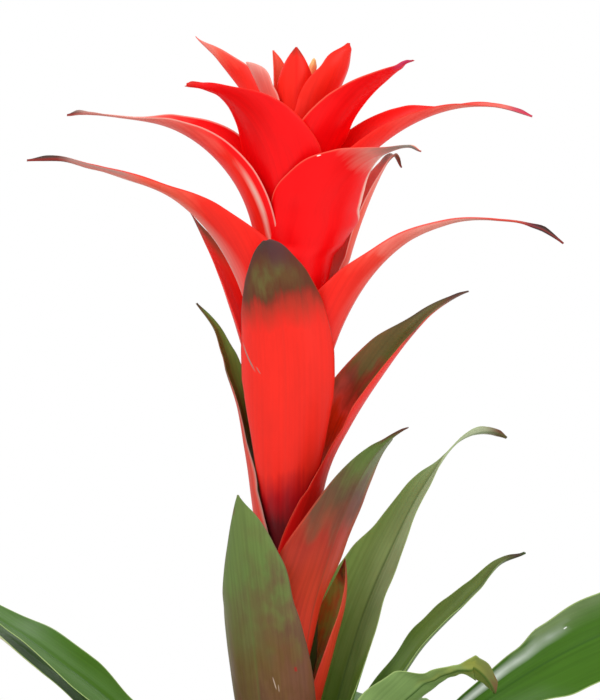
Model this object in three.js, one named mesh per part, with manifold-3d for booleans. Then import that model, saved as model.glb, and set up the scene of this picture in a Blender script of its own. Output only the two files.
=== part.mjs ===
// A guzmania: a bromeliad with a tall red flower spike, cut from its roots and standing on the cut end of
// its trunk. The stem is upright. Round it, in one spiral, stand the strap leaves of the rosette at the
// bottom and the bracts of the spike above them. Each clasps the stem with a conical sheath, so the
// sheaths nest like paper cups, and each blade leaves its sheath along a curve of its own. A small head of
// florets sits in the cup of the top bracts. Millimetres, +Z up. The origin is the middle of the cut end.
// The front of the plant faces -Y, with +X to its right.
import * as THREE from "three";
import { mergeVertices } from "three/addons/utils/BufferGeometryUtils.js";
import Module from "manifold-3d";

const wasm = await Module();
wasm.setup();

// Whole plant
const PLANT_HEIGHT = 440;
const SPIKE_LEAN = 8; // how far the top of the spike stands to the right of the cut end

// Stem, as radius at height
const STEM_PROFILE = [
  [17, 0],
  [17, 8],
  [15.5, 30],
  [12.5, 62],
  [8.5, 84],
  [7, 110],
  [6.7, 180],
  [6.2, 250],
  [5.4, 310],
  [4.6, 372],
  [3.4, 384],
];
const STEM_SIDES = 16;

// Blades
const MARGIN_THICKNESS = 0.6;
const BRACT_THICKNESS = 0.9;
const LEAF_THICKNESS = 1.3;
const TIP_WIDTH = 1.4;
const SHEATH_STEPS = 3;
const BRACT_STEPS = 8;
const LEAF_STEPS = 10;
const LEVEL_SHARE = 0.25; // the share of a free blade over which its section turns from level to square
const SPREAD_SHARE = 0.3; // the share over which it spreads from its width at the sheath to its full width

// Florets, on a head of their own on top of the stem. The closed ones stand in a spiral, the lowest and
// most tilted first. One has grown past them and shows its tip between the top bracts.
const HEAD_PROFILE = [
  [0, 384.4],
  [3.2, 384.4],
  [3, 389],
  [1.6, 400],
  [0, 401],
];
const FLORET_PROFILE = [
  [0, 0],
  [1.3, 1],
  [2, 8],
  [2.2, 17],
  [1.3, 25],
  [0, 30],
];
const FLORET_SIDES = 7;
const FLORET_COUNT = 8;
const FLORET_SPIRAL = 137.5;
const FLORET_RISE = 1.4; // between the feet of one floret and the next
const FLORET_TILT = [9, 2]; // of the lowest and the highest, in degrees
const FLORET_RING = [2.2, 0.9]; // the distance of their feet from the axis
const FLORET_FOOT = 386;
const OPEN_FLORET = { foot: [1.2, 0.6, 394], tip: [6.7, 2, 433.5] };

const COLOURS = {
  red: 0xf0211f,
  flushed: 0x8a4a30,
  green: 0x5f7f35,
  leaf: 0x4f7a2c,
  stem: 0x8fa55a,
  floret: 0xf2c14a,
};

// The bracts of the spike, lowest first. turn is the way a bract faces, in degrees from the front towards
// the right, base its height on the stem, sheath the height of its clasping part and clasp half the angle
// that it takes in at the stem. width is the blade's, flattened, where it leaves the sheath. tip is its
// reach from the stem and its height, and tipLean its direction there, from upright. pull sets how long
// the blade keeps its first and its last direction. side bends the tip towards the right of the way the
// bract faces. roll turns the blade about its own line, at the sheath, half way and at the tip, and cup is
// half the angle of its channel, half way and at the tip. fade shapes the outline: the first number where
// it narrows, the second how drawn out the tip is.
const BRACTS = [
  {
    name: "bract_01", colour: "green", turn: -28, base: 84, lean: 12, sheath: 60, clasp: 72, width: 53,
    tip: [46, 241.5], tipLean: 12, pull: [0.4, 0.3], cup: [45, 30], fade: [1.7, 0.9],
  },
  {
    name: "bract_02", colour: "flushed", turn: 112, base: 112, lean: 15, sheath: 30, clasp: 78, width: 40,
    tip: [28, 209], tipLean: -6, pull: [0.35, 0.3], cup: [60, 40], fade: [2.0, 0.9],
  },
  {
    name: "bract_03", colour: "green", turn: -172, base: 128, lean: 13, sheath: 34, clasp: 78, width: 44,
    tip: [66, 248], tipLean: 58, pull: [0.35, 0.3], cup: [45, 30], fade: [1.6, 1.0],
  },
  {
    name: "bract_04", colour: "flushed", turn: 51, base: 146, lean: 11, sheath: 36, clasp: 74, width: 60,
    tip: [67.5, 271.4], tipLean: 67, pull: [0.29, 0.31], cup: [45, 30], fade: [1.5, 1.0],
  },
  {
    name: "bract_05", colour: "flushed", turn: -104, base: 180, lean: 8.5, sheath: 60, clasp: 104,
    width: 24, tip: [44, 323], tipLean: 38, pull: [0.4, 0.4], cup: [60, 40], fade: [1.4, 0.9],
    roll: [0, -22, -35], columns: 10,
  },
  {
    name: "bract_06", colour: "flushed", turn: 103, base: 197, lean: 11.7, sheath: 44, clasp: 152,
    width: 42, tip: [80, 328], tipLean: 75, pull: [0.3, 0.22], cup: [85, 50], fade: [1.7, 1.0],
    roll: [0, 30, 30], columns: 12,
  },
  {
    name: "bract_07", colour: "red", turn: -4, base: 204, lean: 11, sheath: 78, clasp: 70, width: 51,
    tip: [40, 353.5], tipLean: 26, pull: [0.4, 0.35], side: -9, cup: [60, 40], fade: [2.4, 0.62],
  },
  {
    name: "bract_08", colour: "red", turn: -130, base: 220, lean: 9, sheath: 55, clasp: 66, width: 40,
    tip: [62, 363], tipLean: 40, pull: [0.45, 0.3], cup: [50, 36], fade: [1.5, 1.2],
  },
  {
    name: "bract_09", colour: "red", turn: 66, base: 234, lean: 9, sheath: 50, clasp: 72, width: 52,
    tip: [125.8, 353.4], tipLean: 127, pull: [0.56, 0.35], cup: [70, 40], fade: [1.2, 2.3],
    roll: [0, -8, 0],
  },
  {
    name: "bract_10", colour: "red", turn: -72, base: 246, lean: 9, sheath: 60, clasp: 72, width: 64,
    tip: [123.7, 389], tipLean: 92, pull: [0.5, 0.3], cup: [70, 40], fade: [1.3, 2.4], roll: [0, 10, 5],
  },
  {
    name: "bract_11", colour: "red", turn: 202, base: 256, lean: 9, sheath: 54, clasp: 38, width: 28,
    tip: [96, 384], tipLean: 90, pull: [0.45, 0.4], cup: [45, 34], fade: [1.2, 1.5],
  },
  {
    name: "bract_12", colour: "red", turn: 124, base: 266, lean: 9, sheath: 51, clasp: 46, width: 34,
    tip: [56, 390], tipLean: 125, pull: [0.2, 0.2], cup: [60, 36], fade: [1.6, 1.1],
  },
  {
    name: "bract_13", colour: "red", turn: 28, base: 278, lean: 9.5, sheath: 66, clasp: 72, width: 62,
    tip: [60, 392], tipLean: 100, side: 30, pull: [0.5, 0.4], cup: [40, 24], fade: [1.5, 1.3],
    roll: [0, -8, 0],
  },
  {
    name: "bract_14", colour: "red", turn: -88, base: 288, lean: 9, sheath: 60, clasp: 66, width: 57,
    tip: [103, 408], tipLean: 90, pull: [0.4, 0.5], cup: [85, 30], fade: [1.4, 1.5], roll: [-8, -10, 0],
  },
  {
    name: "bract_15", colour: "red", turn: 180, base: 297, lean: 7.5, sheath: 56, clasp: 46, width: 24,
    tip: [86, 408], tipLean: 92, pull: [0.45, 0.4], cup: [45, 34], fade: [1.2, 1.5],
  },
  {
    name: "bract_16", colour: "red", turn: -26, base: 306, lean: 9, sheath: 58, clasp: 62, width: 52,
    tip: [66, 421], tipLean: 88, side: -22, pull: [0.5, 0.35], cup: [50, 24], fade: [1.5, 1.2],
  },
  {
    name: "bract_17", colour: "red", turn: 88, base: 314, lean: 9, sheath: 40, clasp: 50, width: 54,
    tip: [104.1, 408.5], tipLean: 110, pull: [0.3, 0.45], cup: [80, 30], fade: [1.4, 1.7], roll: [0, 10, 0],
  },
  {
    name: "bract_18", colour: "red", turn: -105, base: 322, lean: 9, sheath: 50, clasp: 68, width: 44,
    tip: [47.6, 443.1], tipLean: 40, pull: [0.6, 0.45], cup: [50, 36], fade: [1.3, 1.1], roll: [8, 15, 0],
  },
  {
    name: "bract_19", colour: "red", turn: 162, base: 330, lean: 9, sheath: 44, clasp: 52, width: 30,
    tip: [50, 428], tipLean: 78, pull: [0.45, 0.4], cup: [45, 34], fade: [1.3, 1.3],
  },
  {
    name: "bract_20", colour: "red", turn: 54, base: 338, lean: 9, sheath: 36, clasp: 56, width: 50,
    tip: [64.5, 432], tipLean: 74, pull: [0.46, 0.36], cup: [50, 30], fade: [1.4, 1.2], roll: [0, -12, -6],
  },
  {
    name: "bract_21", colour: "red", turn: -76, base: 345, lean: 9, sheath: 30, clasp: 50, width: 30,
    tip: [23, 431.6], tipLean: 36, pull: [0.4, 0.35], cup: [58, 45], fade: [3, 0.7], roll: [0, 0, 0],
  },
  {
    name: "bract_22", colour: "red", turn: 180, base: 352, lean: 9, sheath: 30, clasp: 50, width: 22,
    tip: [34, 432], tipLean: 50, pull: [0.4, 0.35], cup: [50, 40], fade: [1.6, 1.1],
  },
  {
    name: "bract_23", colour: "red", turn: 64, base: 357, lean: 9, sheath: 28, clasp: 62, width: 38,
    tip: [24.5, 440], tipLean: 16, pull: [0.4, 0.35], cup: [70, 40], fade: [3.2, 0.9],
  },
  {
    name: "bract_24", colour: "red", turn: 146, base: 362, lean: 9, sheath: 26, clasp: 50, width: 18,
    tip: [24, 432], tipLean: 34, pull: [0.4, 0.35], cup: [50, 40], fade: [1.8, 1.0],
  },
  {
    name: "bract_25", colour: "red", turn: -2, base: 366, lean: 9, sheath: 24, clasp: 62, width: 28,
    tip: [13, 438.2], tipLean: 4, pull: [0.4, 0.35], cup: [60, 44], fade: [2.2, 0.85], side: -1,
  },
  {
    name: "bract_26", colour: "red", turn: -122, base: 371, lean: 9, sheath: 20, clasp: 56, width: 20,
    tip: [14, 437], tipLean: 12, pull: [0.4, 0.35], cup: [60, 44], fade: [1.8, 0.9],
  },
];

// The leaves of the rosette, lowest and outermost first. lean is the sheath's own, from upright.
const LEAVES = [
  { name: "leaf_01", turn: 8, base: 10, lean: 44, tip: [292, 1], tipLean: 146 },
  { name: "leaf_02", turn: 142, base: 13, lean: 43, tip: [288, 1], tipLean: 144 },
  { name: "leaf_03", turn: -78, base: 16, lean: 42, tip: [294, 1], tipLean: 146 },
  { name: "leaf_04", turn: 60, base: 19, lean: 41, tip: [290, 1], tipLean: 144 },
  { name: "leaf_05", turn: -162, base: 22, lean: 39, tip: [292, 1], tipLean: 144 },
  { name: "leaf_06", turn: -24, base: 25, lean: 37, tip: [286, 4], tipLean: 142 },
  { name: "leaf_07", turn: 114, base: 28, lean: 37, tip: [290, 20], tipLean: 140 },
  { name: "leaf_08", turn: -120, base: 31, lean: 36, tip: [284, 24], tipLean: 138 },
  { name: "leaf_09", turn: 28, base: 34, lean: 35, tip: [270, 14], tipLean: 142 },
  { name: "leaf_10", turn: 166, base: 37, lean: 34, tip: [270, 24], tipLean: 140 },
  { name: "leaf_11", turn: -54, base: 40, lean: 34, tip: [268, 20], tipLean: 142 },
  { name: "leaf_12", turn: 84, base: 43, lean: 34, tip: [274, 40], tipLean: 138 },
  { name: "leaf_13", turn: -142, base: 46, lean: 33, tip: [256, 30], tipLean: 140 },
  { name: "leaf_14", turn: -2, base: 49, lean: 33, tip: [236, 24], tipLean: 142 },
  {
    name: "leaf_15", turn: -100, base: 52, lean: 33, tip: [292, 125], tipLean: 155, pull: [0.12, 0.55],
    roll: [-20, 0, 0],
  },
  { name: "leaf_16", turn: 158, base: 55, lean: 35, tip: [238, 62], tipLean: 132 },
  {
    name: "leaf_17", turn: 105, base: 58, lean: 33, tip: [286, 146], tipLean: 138, pull: [0.06, 0.5],
    roll: [-40, 75, 60], width: 50,
  },
  {
    name: "leaf_18", turn: -97, base: 61, lean: 30, tip: [290, 165], tipLean: 143, pull: [0.19, 0.45],
    roll: [-35, -4, 10],
  },
  {
    name: "leaf_19", turn: 60, base: 64, lean: 27, tip: [106, 157], tipLean: 165, pull: [0.66, 0.28],
    roll: [-10, -20, -40], width: 44,
  },
  { name: "leaf_20", turn: 176, base: 67, lean: 26, tip: [132, 196], tipLean: 104, pull: [0.4, 0.35] },
  {
    name: "leaf_21", turn: 104, base: 70, lean: 24, tip: [113, 207.5], tipLean: 64, pull: [0.28, 0.36],
    roll: [4, 0, 0], width: 32,
  },
  {
    name: "leaf_22", turn: 128, base: 73, lean: 15, tip: [129.4, 256], tipLean: 118, pull: [0.38, 0.3],
    roll: [0, 12, -60], fade: [2.0, 1.1], width: 47,
  },
];
const BRACT_DEFAULTS = {
  side: 0,
  roll: [0, 0, 0],
  clearance: 0.4,
  thickness: BRACT_THICKNESS,
  steps: BRACT_STEPS,
  columns: 7,
};
const LEAF_DEFAULTS = {
  colour: "leaf",
  sheath: 32,
  clasp: 66,
  width: 40,
  pull: [0.42, 0.42],
  side: 0,
  roll: [0, 0, 0],
  cup: [30, 20],
  fade: [2.6, 1.0],
  clearance: 0.9,
  thickness: LEAF_THICKNESS,
  steps: LEAF_STEPS,
  columns: 4,
};

// Where single blades differ from that plan, in rows that start with a place along the free blade. edges
// widens or narrows a blade on its left and its right side, as factors. tail is the least half width that
// it keeps. bends moves its line outward, up and sideways. twist turns it, in degrees. hoop is half the
// angle of its channel, in degrees, in place of cup.
const DETAILS = {
  bract_01: {
    edges: [
      [-0.2, 1, 1], [0.2, 1.15, 1], [0.3, 1.2, 1], [0.45, 1, 1.02], [0.7, 0.94, 1.25], [0.9, 0.9, 1.4],
      [1, 1, 1],
    ],
  },
  bract_04: {
    edges: [
      [0, 1, 1], [0.2, 1, 1.25], [0.4, 1, 1.4], [0.6, 1, 1.3], [0.84, 1, 1.5], [0.9, 0.8, 0.5],
      [1, 1, 1],
    ],
    bends: [[0, 0, 0, 0], [0.3, 1.5, 0, 0], [0.5, 1.2, 0, 0], [0.8, 0, 0, 0], [1, 0, 0, 0]],
    hoop: [[0.25, 44], [0.5, 28], [1, 20]],
  },
  bract_05: {
    edges: [
      [-1, 1, 1], [-0.3, 1, 1.1], [0.05, 1, 1.2], [0.3, 1, 1], [0.6, 1, 1], [0.85, 0.75, 1], [1, 1, 1],
    ],
    bends: [[0.4, 0, 0, 0], [0.6, 1.3, 0, 0], [0.7, 0.3, 0, 0], [0.85, -1.2, 0, 0], [1, 0.4, 0, 0]],
  },
  bract_06: {
    edges: [
      [-0.05, 1, 1], [0.12, 0.76, 1], [0.22, 0.8, 1], [0.35, 0.95, 1], [0.6, 1, 0.96], [0.8, 1, 0.6],
      [0.92, 1, 0.6], [1, 1, 1],
    ],
    bends: [[0.8, 0, 0, 0], [1, 2.5, 0, 0]],
  },
  bract_07: {
    edges: [[-0.3, 1, 1], [0, 1.06, 1.05], [0.5, 1.05, 1.02], [0.8, 0.98, 0.98], [1, 0.95, 0.95]],
    tail: [[0.9, 0], [0.98, 4], [1, 1.5]],
  },
  bract_09: {
    bends: [
      [0.5, 0, 0, 0], [0.65, 0, -1.2, 0], [0.8, 0, -1.8, 0], [0.9, 0, 0.3, 0], [0.95, 1.2, 1.4, 0],
      [1, 3.6, -0.9, 0],
    ],
  },
  bract_10: {
    bends: [[0.5, 0, 0, 0], [0.7, 0, -1.7, 0], [0.8, 0, -1.6, 0], [0.9, 0, 0.1, 0], [1, 0, -0.7, 0]],
  },
  bract_12: {
    edges: [[-1, 1, 1], [0, 1.1, 1], [0.3, 1.2, 1], [0.7, 1.35, 1], [0.85, 1, 1], [1, 1, 1]],
    bends: [
      [0, 0, 0, 0], [0.2, 3.2, 0, 0], [0.3, 5, 0, 0], [0.8, 4.8, 0, -0.2], [0.93, 3.6, -0.9, 0],
      [1, 2.4, -6, 0],
    ],
  },
  bract_13: {
    edges: [[0, 1, 1], [0.2, 0.96, 1.2], [0.5, 0.94, 1.0], [0.7, 0.9, 1], [1, 1, 1]],
    bends: [[0.8, 0, 0, 0], [0.94, 0, 1.7, 0], [1, 0, 0.3, 0]],
  },
  bract_14: {
    edges: [[0.2, 1, 1], [0.4, 1.1, 1], [0.6, 0.9, 0.9], [0.75, 0.5, 0.6], [1, 1, 1]],
    bends: [[0.3, 0, 0, 0], [0.6, 0, 1.6, 0], [0.8, 0, 0.6, 0], [0.95, 0, 0.8, 0], [1, 0, -0.1, 0]],
  },
  bract_16: {
    edges: [[0.1, 1, 1], [0.35, 1, 1.14], [0.6, 1, 1.18], [1, 1, 1]],
  },
  bract_18: {
    twist: [[0.45, 0], [0.75, 25], [1, 30]],
    edges: [[0.3, 1, 1], [0.6, 1, 1.1], [0.9, 1, 1.35], [1, 1, 1]],
  },
  bract_20: {
    edges: [[0.2, 1, 1], [0.4, 1.05, 1.25], [0.7, 1.15, 1.35], [0.9, 1, 1.3], [1, 1, 1]],
    hoop: [[0.3, 46], [0.6, 30], [1, 24]],
    bends: [
      [0.1, 0, 0, 0], [0.4, 2.4, 0, 0], [0.7, 2.6, 0, 0], [0.85, 1, 0.3, 0], [0.93, -0.6, 0.8, 0],
      [1, -2.6, 0, 0],
    ],
  },
  bract_21: {
    edges: [[0.4, 1, 1], [0.75, 1, 1.35], [0.92, 1.2, 1.2], [1, 1.3, 1.3]],
    bends: [[0.6, 0, 0, 0], [0.9, 1.4, 0, 0], [1, 1.2, 0, 0]],
  },
  bract_23: {
    edges: [[0.4, 1, 1], [0.75, 1.2, 1.2], [0.92, 1.5, 1.3], [1, 1.5, 1]],
    bends: [[0.5, 0, 0, 0], [0.8, 2.0, 0, 0], [0.94, 1.4, 0, 0], [1, 0, 0, 0]],
  },
  leaf_15: {
    bends: [[0.15, 0, 0, 0], [0.3, 0, 11, 0], [0.4, 0, 15, 0], [0.6, 0, 8, 0], [1, 0, 0, 0]],
  },
  leaf_17: {
    edges: [[0, 1, 1], [0.2, 1, 0.5], [0.3, 1, 0.55], [0.4, 1, 0.76], [0.5, 1, 0.98], [1, 1, 1]],
  },
  leaf_18: {
    edges: [
      [0, 1, 1], [0.2, 0.52, 1], [0.3, 0.8, 1], [0.4, 1, 0.55], [0.5, 1, 0.6], [0.7, 1, 0.7], [1, 1, 1],
    ],
  },
  leaf_19: {
    edges: [[0.4, 1, 1], [0.6, 1, 0.8], [0.7, 0.5, 0.5], [0.8, 0.25, 0.25], [0.88, 0.9, 0.9], [1, 1, 1]],
    tail: [[0.75, 0], [0.86, 4], [0.92, 5.6], [0.96, 3.6], [1, 0.5]],
    twist: [[0.7, 0], [0.9, -45], [1, -45]],
    bends: [
      [0.2, 0, 0, 0], [0.45, 0, 6, 0], [0.6, 0, 4, 0], [0.7, 0, 1.5, 0], [0.8, 0, 1.2, 0],
      [0.9, -3, -1, 0], [1, 1, -1.5, 0],
    ],
    steps: 15,
  },
  leaf_21: {
    edges: [[0.4, 1, 1], [0.6, 1, 1.12], [0.72, 1, 1.4], [0.8, 1, 1.4], [0.9, 1, 1.2], [1, 1, 1]],
    bends: [[0.5, 0, 0, 0], [0.72, 0, -2.6, 0], [0.8, 0, -1.6, 0], [0.9, 0, 2.2, 0], [1, 0, 0, 0]],
  },
  leaf_22: {
    edges: [
      [0.25, 1, 1], [0.45, 0.68, 1], [0.6, 0.74, 0.95], [0.75, 0.85, 1], [0.83, 0.2, 0.2], [0.92, 1, 1],
      [1, 1, 1],
    ],
    bends: [
      [0.35, 0, 0, 0], [0.6, 1.6, -2.2, 0], [0.75, 1.6, -2.6, 0], [0.86, 0, -1, 0], [1, 1.2, -0.5, 0],
    ],
    twist: [[0, 0], [0.3, 5], [0.5, 6], [0.7, -8], [0.84, -35], [1, -60]],
    tail: [[0.8, 0.8], [0.84, 0.9], [0.92, 2.4], [0.97, 1.6], [1, 0.4]],
    roll: [0, 0, 0],
    steps: 15,
  },
};

const radians = THREE.MathUtils.degToRad;
const mix = THREE.MathUtils.lerp;

// The value at a place from 0 to 1, of three given at 0, one half and 1.
function along3(place, first, middle, last) {
  return place < 0.5 ? mix(first, middle, place * 2) : mix(middle, last, place * 2 - 1);
}

// The value at a place of a column of hand-set rows, with no corner at a row.
function eased(place, rows, column) {
  const after = rows.findIndex((row) => row[0] >= place);
  if (after === 0) return rows[0][column];
  if (after < 0) return rows.at(-1)[column];
  const [low, high] = [rows[after - 1], rows[after]];
  return mix(low[column], high[column], THREE.MathUtils.smoothstep(place, low[0], high[0]));
}

// Leans the whole plant a little to the right, more with height.
function leant(point) {
  point.x += SPIKE_LEAN * (point.z / PLANT_HEIGHT) ** 2;
  return point;
}

function stemRadius(height) {
  const above = STEM_PROFILE.findIndex(([, z]) => z > height);
  const [lowRadius, low] = STEM_PROFILE[above - 1];
  const [highRadius, high] = STEM_PROFILE[above];
  return mix(lowRadius, highRadius, (height - low) / (high - low));
}

// The line of a free blade in its own upright plane: x is the reach from the stem's axis, y the height.
function bladeLine(blade, start) {
  const end = new THREE.Vector2(...blade.tip);
  const span = start.distanceTo(end);
  const first = radians(blade.lean);
  const last = radians(blade.tipLean);
  const leave = new THREE.Vector2(Math.sin(first), Math.cos(first)).multiplyScalar(blade.pull[0] * span);
  const arrive = new THREE.Vector2(Math.sin(last), Math.cos(last)).multiplyScalar(blade.pull[1] * span);
  return new THREE.CubicBezierCurve(start, leave.add(start), end.clone().sub(arrive), end);
}

// A function of the place along the blade, -1 at the stem, 0 where it leaves its sheath and 1 at the tip.
// It gives the section there: its middle, the directions across the blade and towards its upper face, its
// half width and the half angle of its arc.
function bladeSections(blade) {
  const turn = radians(blade.turn);
  const outward = new THREE.Vector3(Math.sin(turn), -Math.cos(turn), 0);
  const across = new THREE.Vector3(Math.cos(turn), Math.sin(turn), 0);
  const up = new THREE.Vector3(0, 0, 1);
  const rootRadius = stemRadius(blade.base) + blade.clearance + blade.thickness / 2;
  const neckRadius = rootRadius + blade.sheath * Math.tan(radians(blade.lean));
  const neckHalf = Math.min(blade.width / 2, neckRadius * radians(blade.clasp));
  const neckAngle = neckHalf / neckRadius;
  const line = bladeLine(blade, new THREE.Vector2(neckRadius, blade.base + blade.sheath));
  const length = line.getLength();

  const sides = (place) => [1, 2].map((side) => (blade.edges ? eased(place, blade.edges, side) : 1));

  return (place) => {
    if (place <= 0) {
      const radius = mix(rootRadius, neckRadius, place + 1);
      const angle = mix(radians(blade.clasp), neckAngle, place + 1);
      const middle = outward.clone().multiplyScalar(radius);
      middle.z = blade.base + blade.sheath * (place + 1);
      const inward = outward.clone().negate();
      return { middle, across, inward, half: radius * angle, angle, sides: sides(place) };
    }
    const at = line.getPointAt(place);
    const slope = line.getTangentAt(place);
    const middle = outward.clone().multiplyScalar(at.x).addScaledVector(across, blade.side * place ** 2);
    middle.z = at.y;
    const along = outward.clone().multiplyScalar(slope.x).addScaledVector(up, slope.y);
    along.addScaledVector(across, (2 * blade.side * place) / length).normalize();
    const level = THREE.MathUtils.smoothstep(place, 0, LEVEL_SHARE);
    const right = across.clone().addScaledVector(along, -across.dot(along) * level).normalize();
    const square = new THREE.Vector3().crossVectors(along, right);
    const inward = outward.clone().negate().lerp(square, level).normalize();
    const twist = blade.twist ? radians(eased(place, blade.twist, 1)) : 0;
    const roll = radians(along3(place, ...blade.roll)) * level + twist;
    right.applyAxisAngle(along, roll);
    inward.applyAxisAngle(along, roll);
    const narrowing = (1 - place ** blade.fade[0]) ** blade.fade[1];
    const spread = mix(neckHalf, blade.width / 2, THREE.MathUtils.smoothstep(place, 0, SPREAD_SHARE));
    const tail = blade.tail ? eased(place, blade.tail, 1) : 0;
    const half = Math.max(spread * narrowing, tail, TIP_WIDTH / 2);
    let angle = along3(place, neckAngle, radians(blade.cup[0]), radians(blade.cup[1]));
    if (blade.hoop) {
      const rows = [[0, THREE.MathUtils.radToDeg(neckAngle)], ...blade.hoop];
      angle = radians(eased(place, rows, 1));
    }
    if (blade.bends) {
      middle.addScaledVector(outward, eased(place, blade.bends, 1));
      middle.addScaledVector(up, eased(place, blade.bends, 2));
      middle.addScaledVector(across, eased(place, blade.bends, 3));
    }
    return { middle, across: right, inward, half, angle, sides: sides(place) };
  };
}

// One closed blade: a lower and an upper skin, joined round the margin.
function bladeGeometry(blade) {
  const section = bladeSections(blade);
  const places = [];
  for (let i = 0; i < SHEATH_STEPS; i += 1) places.push(i / SHEATH_STEPS - 1);
  for (let i = 0; i <= blade.steps; i += 1) places.push(i / blade.steps);
  const points = [];
  for (const place of places) {
    const { middle, across, inward, half, angle, sides } = section(place);
    const radius = half / angle;
    for (let j = 0; j <= blade.columns; j += 1) {
      const v = (2 * j) / blade.columns - 1;
      const bend = v * angle * Math.max(v < 0 ? sides[0] : sides[1], TIP_WIDTH / 2 / half);
      const point = middle.clone().addScaledVector(across, radius * Math.sin(bend));
      point.addScaledVector(inward, radius * (1 - Math.cos(bend)));
      const normal = inward.clone().multiplyScalar(Math.cos(bend)).addScaledVector(across, -Math.sin(bend));
      const thickness = mix(blade.thickness, MARGIN_THICKNESS, v * v);
      points.push(leant(point.clone().addScaledVector(normal, -thickness / 2)));
      points.push(leant(point.clone().addScaledVector(normal, thickness / 2)));
    }
  }
  const index = [];
  const lower = (i, j) => 2 * (i * (blade.columns + 1) + j);
  const upper = (i, j) => lower(i, j) + 1;
  const quad = (a, b, c, d) => index.push(a, b, c, a, c, d);
  const last = places.length - 1;
  for (let i = 0; i < last; i += 1) {
    for (let j = 0; j < blade.columns; j += 1) {
      quad(lower(i, j), lower(i, j + 1), lower(i + 1, j + 1), lower(i + 1, j));
      index.push(upper(i, j), upper(i + 1, j + 1), upper(i, j + 1));
      index.push(upper(i, j), upper(i + 1, j), upper(i + 1, j + 1));
    }
    quad(upper(i, 0), lower(i, 0), lower(i + 1, 0), upper(i + 1, 0));
    const edge = blade.columns;
    quad(lower(i, edge), upper(i, edge), upper(i + 1, edge), lower(i + 1, edge));
  }
  for (let j = 0; j < blade.columns; j += 1) {
    quad(upper(0, j), upper(0, j + 1), lower(0, j + 1), lower(0, j));
    quad(lower(last, j), lower(last, j + 1), upper(last, j + 1), upper(last, j));
  }
  const geometry = new THREE.BufferGeometry().setFromPoints(points).setIndex(index);
  geometry.computeVertexNormals();
  return geometry;
}

// A round solid from its profile, given as radius at height, from the axis to the axis.
function turned(profile, sides) {
  const points = profile.map(([radius, height]) => new THREE.Vector2(radius, height));
  return new THREE.LatheGeometry(points, sides).rotateX(Math.PI / 2);
}

function leantGeometry(geometry) {
  const points = geometry.getAttribute("position");
  for (let i = 0; i < points.count; i += 1) {
    points.setX(i, leant(new THREE.Vector3().fromBufferAttribute(points, i)).x);
  }
  geometry.computeVertexNormals();
  return geometry;
}

function stemGeometry() {
  return leantGeometry(turned([[0, 0], ...STEM_PROFILE, [0, STEM_PROFILE.at(-1)[1]]], STEM_SIDES));
}

function solid(geometry) {
  const bare = new THREE.BufferGeometry().setAttribute("position", geometry.getAttribute("position"));
  const closed = mergeVertices(bare.setIndex(geometry.getIndex()));
  const vertProperties = closed.getAttribute("position").array;
  const triVerts = new Uint32Array(closed.index.array);
  return new wasm.Manifold(new wasm.Mesh({ numProp: 3, vertProperties, triVerts }));
}

function floret(foot, tip) {
  const up = new THREE.Vector3(0, 0, 1);
  const line = tip.clone().sub(foot);
  const stretch = line.length() / FLORET_PROFILE.at(-1)[1];
  const geometry = turned(FLORET_PROFILE, FLORET_SIDES).scale(1, 1, stretch);
  geometry.applyQuaternion(new THREE.Quaternion().setFromUnitVectors(up, line.normalize()));
  return solid(geometry.translate(foot.x, foot.y, foot.z));
}

function floretsGeometry() {
  let head = solid(turned(HEAD_PROFILE, FLORET_SIDES));
  const length = FLORET_PROFILE.at(-1)[1];
  for (let i = 0; i < FLORET_COUNT; i += 1) {
    const share = i / (FLORET_COUNT - 1);
    const turn = radians(i * FLORET_SPIRAL);
    const tilt = radians(mix(...FLORET_TILT, share));
    const outward = new THREE.Vector3(Math.sin(turn), -Math.cos(turn), 0);
    const foot = outward.clone().multiplyScalar(mix(...FLORET_RING, share));
    foot.z = FLORET_FOOT + i * FLORET_RISE;
    const tip = foot.clone().addScaledVector(outward, length * Math.sin(tilt));
    tip.z += length * Math.cos(tilt);
    head = head.add(floret(foot, tip));
  }
  head = head.add(floret(new THREE.Vector3(...OPEN_FLORET.foot), new THREE.Vector3(...OPEN_FLORET.tip)));
  const { vertProperties, triVerts } = head.getMesh();
  const geometry = new THREE.BufferGeometry();
  geometry.setAttribute("position", new THREE.BufferAttribute(new Float32Array(vertProperties), 3));
  geometry.setIndex(new THREE.BufferAttribute(new Uint32Array(triVerts), 1));
  return leantGeometry(geometry);
}

const materials = {};
for (const [name, colour] of Object.entries(COLOURS)) {
  materials[name] = new THREE.MeshStandardMaterial({ color: colour, roughness: 0.5, metalness: 0 });
}

const plant = new THREE.Group();

function add(name, geometry, colour) {
  const mesh = new THREE.Mesh(geometry, materials[colour]);
  mesh.name = name;
  plant.add(mesh);
}

add("stem", stemGeometry(), "stem");
add("florets", floretsGeometry(), "floret");
for (const bract of BRACTS) {
  const blade = { ...BRACT_DEFAULTS, ...bract, ...DETAILS[bract.name] };
  add(blade.name, bladeGeometry(blade), blade.colour);
}
for (const leaf of LEAVES) {
  const blade = { ...LEAF_DEFAULTS, ...leaf, ...DETAILS[leaf.name] };
  add(blade.name, bladeGeometry(blade), blade.colour);
}

export default plant;
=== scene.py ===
# The looks of a cut guzmania: the leaves, the bracts of the flower spike, the florets and the stem, each
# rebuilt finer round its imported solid, with living tissue for a finish. Sizes are in millimetres in the
# plant's own frame, +Z up the stem and -Y to the front, and become metres where a mesh is made.
import math

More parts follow.
